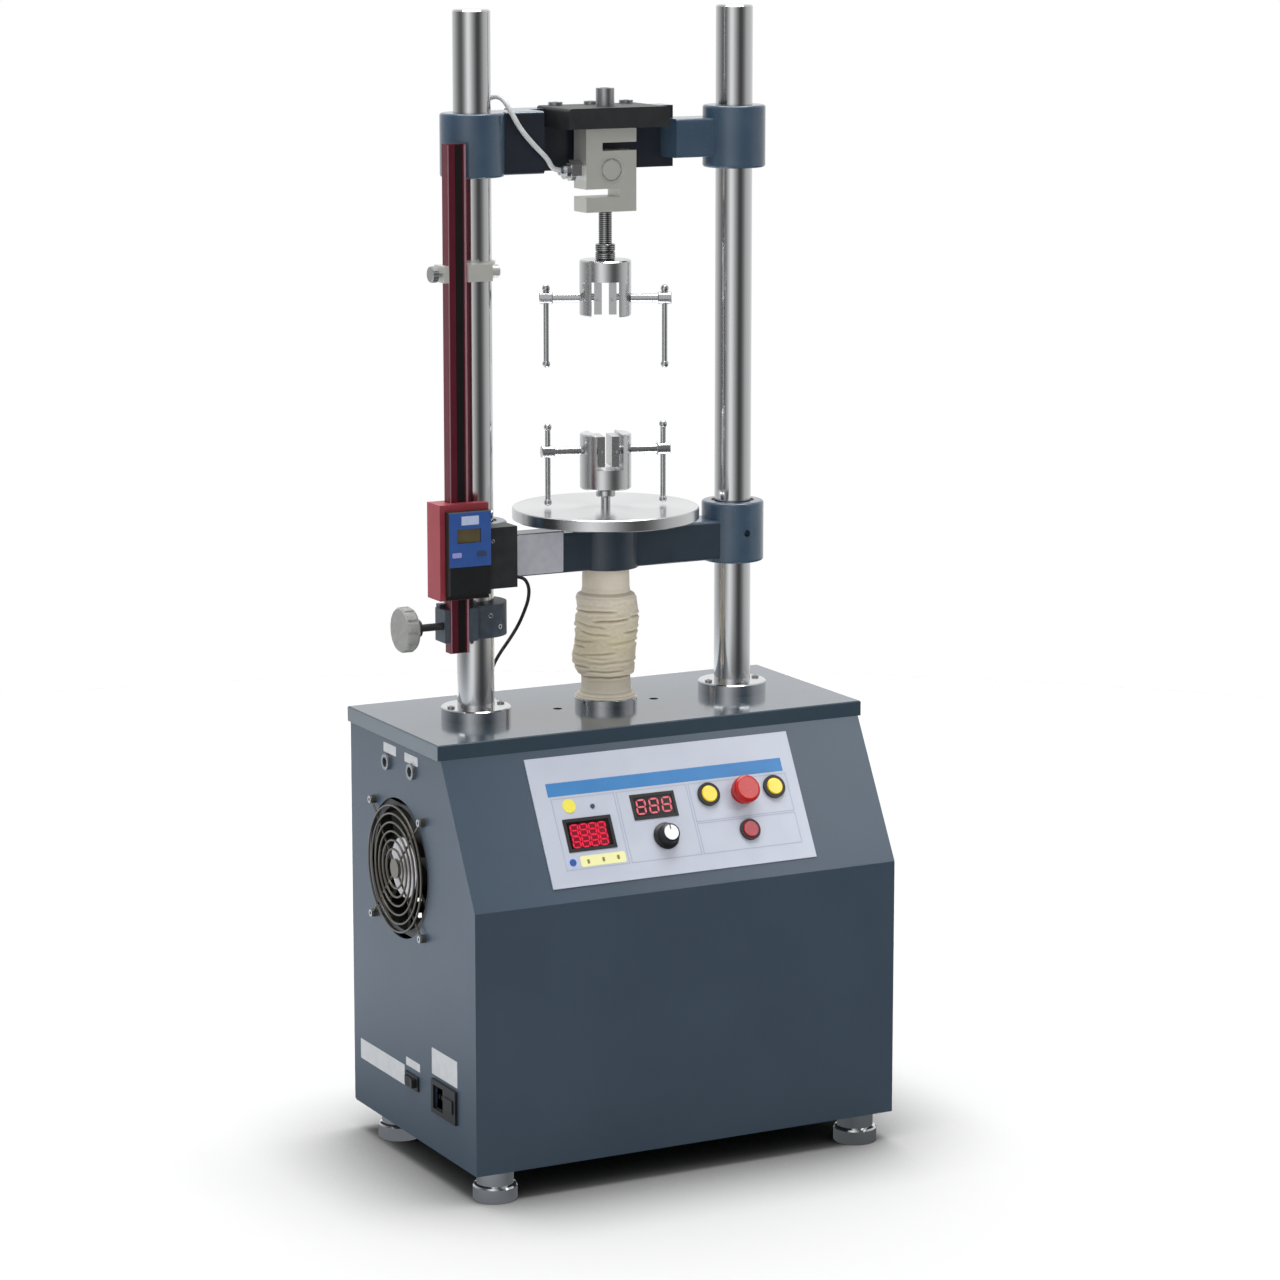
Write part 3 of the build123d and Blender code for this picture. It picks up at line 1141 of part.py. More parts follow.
def clamp_knob():
    high = KNOB_SHAPE[5][1]
    knob = fluted(turned(KNOB_SHAPE), KNOB_FLUTES, KNOB_FLUTE_CIRCLE, KNOB_FLUTE_RADIUS, high)
    return Pos(KNOB_FACE_X, KNOB_Y, KNOB_Z) * Rot(0, 90, 0) * knob


def collar_thumbscrew():
    high = THUMB_SHAPE[5][1]
    knob = fluted(turned(THUMB_SHAPE), THUMB_FLUTES, THUMB_FLUTE_CIRCLE, THUMB_FLUTE_RADIUS, high)
    return Pos(THUMB_FACE_X, THUMB_Y, THUMB_Z) * Rot(0, 90, 0) * knob


# Drive under the table

def pulley(radius, bore):
    ring = upright(radius, PULLEY_Z)
    for z in (PULLEY_Z[0] - PULLEY_RIM_HIGH, PULLEY_Z[1]):
        ring += upright(radius + PULLEY_RIM, (z, z + PULLEY_RIM_HIGH))
    return ring - upright(bore, (PULLEY_Z[0] - PULLEY_RIM, PULLEY_Z[1] + PULLEY_RIM))


def drive_pulley():
    nut = upright(NUT_JOURNAL_RADIUS, NUT_Z) + pulley(DRIVE_PULLEY_RADIUS, SNUG)
    return nut - upright(RAM_RADIUS + RUNNING, (NUT_Z[0] - SHEET, NUT_Z[1] + SHEET))


def motor_pulley():
    return Pos(*MOTOR_AT, 0) * pulley(MOTOR_PULLEY_RADIUS, MOTOR_SHAFT_RADIUS + RUNNING)


def belt_loop(extra, z):
    loop = upright(DRIVE_PULLEY_RADIUS + extra, z) + upright(MOTOR_PULLEY_RADIUS + extra, z, MOTOR_AT)
    far = hypot(*MOTOR_AT)
    heading = atan2(MOTOR_AT[1], MOTOR_AT[0])
    spread = atan2((far ** 2 - (DRIVE_PULLEY_RADIUS - MOTOR_PULLEY_RADIUS) ** 2) ** (1 / 2),
                   DRIVE_PULLEY_RADIUS - MOTOR_PULLEY_RADIUS)
    corners = []
    for centre, radius, side in (((0, 0), DRIVE_PULLEY_RADIUS, 1), (MOTOR_AT, MOTOR_PULLEY_RADIUS, 1),
                                 (MOTOR_AT, MOTOR_PULLEY_RADIUS, -1), ((0, 0), DRIVE_PULLEY_RADIUS, -1)):
        angle = heading + side * spread
        reach = radius + extra
        corners.append((centre[0] + reach * cos(angle), centre[1] + reach * sin(angle), z[0]))
    web = make_face(Polyline(*corners, close=True))
    return loop + extrude(web, z[1] - z[0], dir=(0, 0, 1))


def drive_belt():
    z = (PULLEY_Z[0] + BELT_SIDE_PLAY, PULLEY_Z[1] - BELT_SIDE_PLAY)
    return belt_loop(BELT_THICK, z) - belt_loop(RUNNING, (z[0] - SHEET, z[1] + SHEET))


def drive_frame():
    frame = block(FRAME_X, FRAME_Y, FRAME_Z)
    for at in FRAME_POSTS:
        frame += upright(FRAME_POST_RADIUS, (FRAME_Z[0], CABINET_TOP), at)
    frame += upright(BEARING_CUP_RADIUS, (BEARING_CUP_LOW, FRAME_Z[1]))
    reach = (BEARING_CUP_LOW - SHEET, FRAME_Z[1] + SHEET)
    frame -= upright(NUT_JOURNAL_RADIUS + RUNNING, reach)
    return frame - upright(MOTOR_REGISTER + SNUG, reach, MOTOR_AT)


def gear_motor():
    x, y = MOTOR_AT
    body = block((x - GEARBOX_HALF, x + GEARBOX_HALF), (y - GEARBOX_HALF, y + GEARBOX_HALF), GEARBOX_Z)
    body += upright(MOTOR_REGISTER, (GEARBOX_Z[1], FRAME_Z[1]), MOTOR_AT)
    body += upright(MOTOR_SHAFT_RADIUS, (FRAME_Z[1], PULLEY_Z[1]), MOTOR_AT)
    body += upright(MOTOR_RADIUS, (MOTOR_LOW, GEARBOX_Z[0]), MOTOR_AT)
    return body + upright(MOTOR_CAP_RADIUS, (MOTOR_CAP_LOW, MOTOR_LOW), MOTOR_AT)


def motor_drive():
    box = block(DRIVE_BOX_X, DRIVE_BOX_Y, DRIVE_BOX_Z)
    for step in range(DRIVE_FIN_COUNT):
        x = DRIVE_BOX_X[0] + DRIVE_FIN_PITCH * (step + 1)
        box += block((x, x + DRIVE_FIN_THICK), DRIVE_BOX_Y, (DRIVE_BOX_Z[1], DRIVE_BOX_Z[1] + DRIVE_FIN_HIGH))
    return box


# Bellows, glands and cables

def bellows():
    inside = [(radius - BELLOWS_WALL, height) for radius, height in BELLOWS_SHAPE]
    outline = list(BELLOWS_SHAPE) + [(BELLOWS_INNER_END, BELLOWS_HIGH)] + list(reversed(inside[:-1]))
    return turned(outline)


def table_gland(at, cable_radius):
    gland = hexagon(TABLE_GLAND_HEX, (0, TABLE_GLAND_HEX_HIGH), at)
    gland += upright(TABLE_GLAND_NOSE, (TABLE_GLAND_HEX_HIGH, TABLE_GLAND_HIGH), at)
    return gland - upright(cable_radius + CLEAR, (-SHEET, TABLE_GLAND_HIGH + SHEET), at)


def cable_glands():
    middle = CELL_GLAND_X[1] - GLAND_HEX_LONG
    face = Rot(0, 90, 0) * RegularPolygon(GLAND_HEX_RADIUS, NUT_SIDES)
    cell = Pos(middle, 0, CELL_CENTRE) * extrude(face, GLAND_HEX_LONG, dir=(1, 0, 0))
    step = (CELL_GLAND_X[0] + middle) / 2
    cell += along_x(GLAND_DOME_RADIUS, (step, middle), 0, CELL_CENTRE)
    cell += along_x(GLAND_NOSE_RADIUS, (CELL_GLAND_X[0], step), 0, CELL_CENTRE)
    bore = (CELL_GLAND_X[0] - SHEET, CELL_CABLE_POINTS[0][0] + CLEAR)
    cell -= along_x(CELL_CABLE_RADIUS + CLEAR, bore, 0, CELL_CENTRE)
    table = table_gland(CELL_GLAND_AT, CELL_CABLE_RADIUS)
    return [cell, table, table_gland(READOUT_GLAND_AT, READOUT_CABLE_RADIUS)]


save("cabinet_shell", cabinet_shell())
save("rear_cover", rear_cover())
save("top_plate", top_plate())
save("column_left", *column(-1))
save("column_right", *column(1))
save("base_flanges", *base_flanges())
save("machine_screws", *machine_screws(), *clamp_screws())
save("feet", *feet())
save("control_panel", *control_panel())
save("panel_displays", *panel_displays())
save("up_button", push_button(UP_BUTTON_AT))
save("down_button", push_button(DOWN_BUTTON_AT))
save("stop_button", stop_button())
save("red_button", push_button(RED_BUTTON_AT))
save("speed_knob", speed_knob())
save("fan_frame", fan_frame())
save("fan_rotor", fan_rotor())
save("fan_guard", fan_guard())
save("power_inlet", *power_inlet())
save("power_rocker", power_rocker())
save("signal_sockets", *signal_sockets())
save("upper_crosshead", upper_crosshead())
save("load_plate", load_plate())
save("load_cell", *load_cell())
save("load_stud", *load_stud())
save("upper_grip_body", upper_place(grip_body(STUD_RADIUS, UPPER_GRIP_FACE + GRIP_HIGH - STUD_Z[0])))
lower_stud_depth = LOWER_STUD_Z[1] - LOWER_GRIP_FACE + GRIP_HIGH
save("lower_grip_body", lower_place(grip_body(LOWER_STUD_RADIUS, lower_stud_depth)))
for end, place, drop in (("upper", upper_place, -UPPER_BAR_DROP), ("lower", lower_place, LOWER_BAR_DROP)):
    for hand, side in (("left", -1), ("right", 1)):
        turn = side if end == "upper" else -side
        save(f"{end}_{hand}_jaw", place(jaw(turn)))
        save(f"{end}_{hand}_spindle", place(spindle(turn)))
        save(f"{end}_{hand}_bar", place(bar(turn, drop)))
save("lower_crosshead", lower_crosshead())
save("column_bushings", *column_bushings())
save("platen", platen())
save("lower_stud", *lower_stud())
save("ram_screw", ram_screw())
save("readout_slider", *readout_slider())
save("readout_housing", readout_housing())
save("scale_beam", scale_beam())
save("scale_brackets", *scale_brackets())
save("clamp_knob", clamp_knob())
save("collar_thumbscrew", collar_thumbscrew())
save("drive_pulley", drive_pulley())
save("motor_pulley", motor_pulley())
save("drive_belt", drive_belt())
save("drive_frame", drive_frame())
save("gear_motor", gear_motor())
save("motor_drive", motor_drive())
save("bellows", bellows())
save("cable_glands", *cable_glands())
save("load_cell_cable", cord(CELL_CABLE_POINTS, CELL_CABLE_RADIUS))
save("readout_cable", cord(READOUT_CABLE_POINTS, READOUT_CABLE_RADIUS))
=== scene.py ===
import bpy
import bmesh
import json
import math
from mathutils import Matrix, Vector, noise

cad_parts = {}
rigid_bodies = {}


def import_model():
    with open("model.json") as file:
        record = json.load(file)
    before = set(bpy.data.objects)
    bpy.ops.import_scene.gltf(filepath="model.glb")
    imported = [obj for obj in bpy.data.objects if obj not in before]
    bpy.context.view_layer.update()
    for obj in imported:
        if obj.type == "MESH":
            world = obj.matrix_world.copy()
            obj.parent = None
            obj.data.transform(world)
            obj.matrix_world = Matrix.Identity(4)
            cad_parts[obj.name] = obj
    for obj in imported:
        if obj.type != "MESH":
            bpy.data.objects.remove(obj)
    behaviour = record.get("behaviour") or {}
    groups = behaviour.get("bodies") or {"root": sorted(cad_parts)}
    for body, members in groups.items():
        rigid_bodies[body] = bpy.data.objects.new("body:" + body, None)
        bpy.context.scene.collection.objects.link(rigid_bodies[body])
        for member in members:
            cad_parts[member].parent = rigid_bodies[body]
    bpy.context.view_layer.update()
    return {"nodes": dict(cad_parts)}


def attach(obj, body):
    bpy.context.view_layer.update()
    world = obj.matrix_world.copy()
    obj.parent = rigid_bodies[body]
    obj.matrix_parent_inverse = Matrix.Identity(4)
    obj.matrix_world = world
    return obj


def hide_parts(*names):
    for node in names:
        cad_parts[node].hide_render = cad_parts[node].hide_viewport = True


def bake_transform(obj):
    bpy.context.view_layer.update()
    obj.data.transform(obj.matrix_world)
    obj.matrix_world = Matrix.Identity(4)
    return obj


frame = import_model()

# Places are in millimetres: x right, y back, z up from the top of the table, on the load axis.
tableHeight = 404.0
mm = 0.001
nodes = frame["nodes"]
sceneObjects = bpy.context.scene.collection.objects


def row(x, y, z):
    return Vector((x, y, z + tableHeight)) * mm


# The sloped control face: x across, s down from its top edge, h out of the face.
slopeFace = {"topEdge": (0, -97.0, -14.0), "fall": 124.0, "reach": 69.0}
slopeLean = math.atan2(slopeFace["fall"], slopeFace["reach"])
slopePlace = Matrix.Translation(row(*slopeFace["topEdge"])) @ Matrix.Rotation(slopeLean, 4, "X")


def linear(code):
    # an sRGB hex code as the linear colour that nodes take
    values = [int(code[i:i + 2], 16) / 255 for i in (1, 3, 5)]
    return [v / 12.92 if v <= 0.04045 else ((v + 0.055) / 1.055) ** 2.4 for v in values] + [1.0]


def feed(tree, node, settings):
    # gives a node its fields and inputs: a node or socket is linked, anything else is a value
    for name, value in settings.items():
        if isinstance(value, bpy.types.Node):
            value = value.outputs[0]
        if isinstance(value, bpy.types.NodeSocket):
            tree.links.new(value, node.inputs[name])
        elif isinstance(name, int) or name in node.inputs:
            node.inputs[name].default_value = value
        else:
            setattr(node, name, value)


def addNode(tree, kind, settings=None):
    node = tree.nodes.new("ShaderNode" + kind)
    feed(tree, node, settings or {})
    return node


def calculate(tree, operation, *values):
    return addNode(tree, "Math", {"operation": operation, **dict(enumerate(values))})


def mapRange(tree, value, start, end, low=0.0, high=1.0):
    return addNode(tree, "MapRange", {"Value": value, "From Min": start, "From Max": end, "To Min": low,
                                      "To Max": high})


def mixColours(tree, share, first, second):
    return addNode(tree, "Mix", {"data_type": "RGBA", 0: share, 6: first, 7: second}).outputs[2]


def addNoise(tree, size, detail, place):
    # size in millimetres
    return addNode(tree, "TexNoise", {"Scale": 1000 / size, "Detail": detail, "Vector": place}).outputs["Fac"]


# Camera, at the photograph's angle
cameraLook = {
    "azimuth": -27.51, "elevation": 9.91, "distance": 3839.8, "aim": (35.6, 0.0, 113.4),
    "focal": 4147.5, "imageSide": 1280.0, "rise": -60.0, "sensorWidth": 36.0, "clip": (0.05, 100.0),
}


def makeCamera(look):
    turn, tilt = math.radians(look["azimuth"]), math.radians(look["elevation"])
    back = Vector((math.sin(turn) * math.cos(tilt), -math.cos(turn) * math.cos(tilt), math.sin(tilt)))
    data = bpy.data.cameras.new("photoCamera")
    data.sensor_width = look["sensorWidth"]
    data.lens = look["focal"] / look["imageSide"] * data.sensor_width
    data.shift_y = look["rise"] / look["imageSide"]
    data.clip_start, data.clip_end = look["clip"]
    camera = bpy.data.objects.new("photoCamera", data)
    sceneObjects.link(camera)
    camera.location = row(*look["aim"]) + back * look["distance"] * mm
    camera.rotation_euler = (-back).to_track_quat("-Z", "Y").to_euler()
    bpy.context.scene.camera = camera


makeCamera(cameraLook)
print("camera placed")


# Cables: the same routes as the solids follow
loadCellLead = {
    "radius": 2.3,
    "sides": 16,
    "route": (
        (-36.0, 0.0, 494.4), (-49.0, 0.0, 494.4), (-58.0, -7.0, 499.0), (-66.0, -16.5, 506.5),
        (-80.0, -18.0, 519.0), (-93.0, -18.0, 533.0), (-101.5, -16.5, 548.0), (-104.5, -7.0, 560.0),
        (-106.0, 8.0, 563.0), (-108.0, 23.5, 558.0), (-111.0, 35.0, 541.5), (-112.5, 40.5, 514.0),
        (-115.0, 39.0, 466.0), (-113.0, 41.5, 412.0), (-115.0, 40.0, 358.0), (-114.0, 42.0, 304.0),
        (-116.0, 40.5, 250.0), (-113.5, 39.5, 196.0), (-115.0, 41.5, 142.0), (-113.0, 40.0, 88.0),
        (-114.0, 40.0, 40.0), (-114.0, 40.0, 3.0),
    ),
}
readoutLead = {
    "radius": 1.6,
    "sides": 14,
    "route": (
        (-116.0, -37.0, 134.5), (-103.0, -37.0, 134.0), (-95.5, -35.0, 124.0), (-94.0, -30.5, 111.0),
        (-95.0, -23.0, 98.0), (-95.0, -11.5, 84.5), (-96.5, 3.0, 69.5), (-99.0, 19.0, 54.0),
        (-99.5, 33.0, 40.0), (-98.0, 44.0, 26.0), (-98.0, 47.0, 12.0), (-98.0, 47.0, 3.0),
    ),
}


def routeLine(look):
    # the smooth line of a cable, read from a curve that its route's points control
    data = bpy.data.curves.new("cableRoute", "CURVE")
    data.dimensions = "3D"
    data.resolution_u = 12
    spline = data.splines.new("NURBS")
    spline.points.add(len(look["route"]) - 1)
    for point, place in zip(spline.points, look["route"]):
        point.co = (*row(*place), 1.0)
    spline.order_u = 3
    spline.use_endpoint_u = True
    curve = bpy.data.objects.new("cableRoute", data)
    sceneObjects.link(curve)
    bpy.context.view_layer.update()
    mesh = bpy.data.meshes.new_from_object(curve.evaluated_get(bpy.context.evaluated_depsgraph_get()))
    line = [v.co.copy() for v in mesh.vertices]
    bpy.data.meshes.remove(mesh)
    bpy.data.objects.remove(curve)
    return line


def tubeAlong(name, line, radius, sides):
    shape = bmesh.new()
    rings = []
    side = Vector((0, 0, 1)).cross(line[1] - line[0]).normalized()
    for index, place in enumerate(line):
        ahead = (line[min(index + 1, len(line) - 1)] - line[max(index - 1, 0)]).normalized()
        side = (side - ahead * side.dot(ahead)).normalized()
        over = ahead.cross(side)
        ring = []
        for step in range(sides):
            angle = 2 * math.pi * step / sides
            ring.append(shape.verts.new(place + (side * math.cos(angle) + over * math.sin(angle)) * radius))
        rings.append(ring)
    for first, second in zip(rings, rings[1:]):
        for step in range(sides):
            other = (step + 1) % sides
            shape.faces.new((first[step], first[other], second[other], second[step]))
    shape.faces.new(list(reversed(rings[0])))
    shape.faces.new(rings[-1])
    bmesh.ops.recalc_face_normals(shape, faces=shape.faces)
    mesh = bpy.data.meshes.new(name)
    shape.to_mesh(mesh)
    shape.free()
    mesh.shade_smooth()
    piece = bpy.data.objects.new(name, mesh)
    sceneObjects.link(piece)
    return piece


loadCellLine = routeLine(loadCellLead)
loadCellCord = tubeAlong("loadCellLead", loadCellLine, loadCellLead["radius"] * mm, loadCellLead["sides"])
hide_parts("load_cell_cable")
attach(loadCellCord, "frame")

readoutLine = routeLine(readoutLead)
readoutCord = tubeAlong("readoutLead", readoutLine, readoutLead["radius"] * mm, readoutLead["sides"])
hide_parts("readout_cable")
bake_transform(readoutCord)
print("cables laid")


# Materials
def newMaterial(name):
    material = bpy.data.materials.new(name)
    material.use_nodes = True
    return material, material.node_tree


def objectPlace(tree, turned):
    # turned pieces are centred on the load axis: their marks run round it, so only radius and height count
    place = addNode(tree, "TexCoord").outputs["Object"]
    if not turned:
        return place
    parts = addNode(tree, "SeparateXYZ", {0: place})
    flat = addNode(tree, "CombineXYZ", {0: parts, 1: parts.outputs[1]})
    radius = addNode(tree, "VectorMath", {"operation": "LENGTH", 0: flat}).outputs["Value"]
    return addNode(tree, "CombineXYZ", {0: radius, 2: parts.outputs[2]}).outputs[0]


# what a finish has unless its entry says otherwise; grain, cloud and depth in millimetres
plainFinish = {"metal": 0.0, "rough": (0.36, 0.46), "grain": 0.8, "depth": 0.004, "stretch": (1, 1, 1),
               "turned": False, "sockets": {}}
cloudEdges = (0.35, 0.65)


def makeFinish(name, look):
    look = {**plainFinish, **look}
    colour = linear(look["colour"])
    material, tree = newMaterial(name)
    material.diffuse_color = colour
    shader = tree.nodes["Principled BSDF"]
    feed(tree, shader, {"Metallic": look["metal"], "Base Color": colour, **look["sockets"]})
    place = objectPlace(tree, look["turned"])
    stretched = addNode(tree, "Mapping", {"Scale": look["stretch"], "Vector": place})
    if "cloud" in look:
        cloudColour, cloudSize = look["cloud"]
        steep = mapRange(tree, addNoise(tree, cloudSize, 3.0, place), *cloudEdges)
        feed(tree, shader, {"Base Color": mixColours(tree, steep, colour, linear(cloudColour))})
    if "threadPitch" in look:
        # a wave texture of scale 1 has twenty bands in a length of two pi
        scale = 2 * math.pi / (20 * look["threadPitch"] * mm)
        bands = addNode(tree, "TexWave", {"bands_direction": "Z", "Distortion": 0.0, "Scale": scale,
                                          "Vector": place}).outputs["Fac"]
        # painted shade in the thread's roots, band by band
        feed(tree, shader, {"Base Color": mixColours(tree, bands, linear(look["threadRootShade"]), colour)})
    if look["turned"]:
        feed(tree, shader, {"Tangent": addNode(tree, "Tangent", {"direction_type": "RADIAL", "axis": "Z"})})
    grain = addNoise(tree, look["grain"], 2.0, stretched)
    rough = mapRange(tree, grain, 0.0, 1.0, *look["rough"])
    relief = addNode(tree, "Bump", {"Distance": look["depth"] * mm, "Strength": 1.0, "Height": grain})
    feed(tree, shader, {"Roughness": rough, "Normal": relief})
    return material


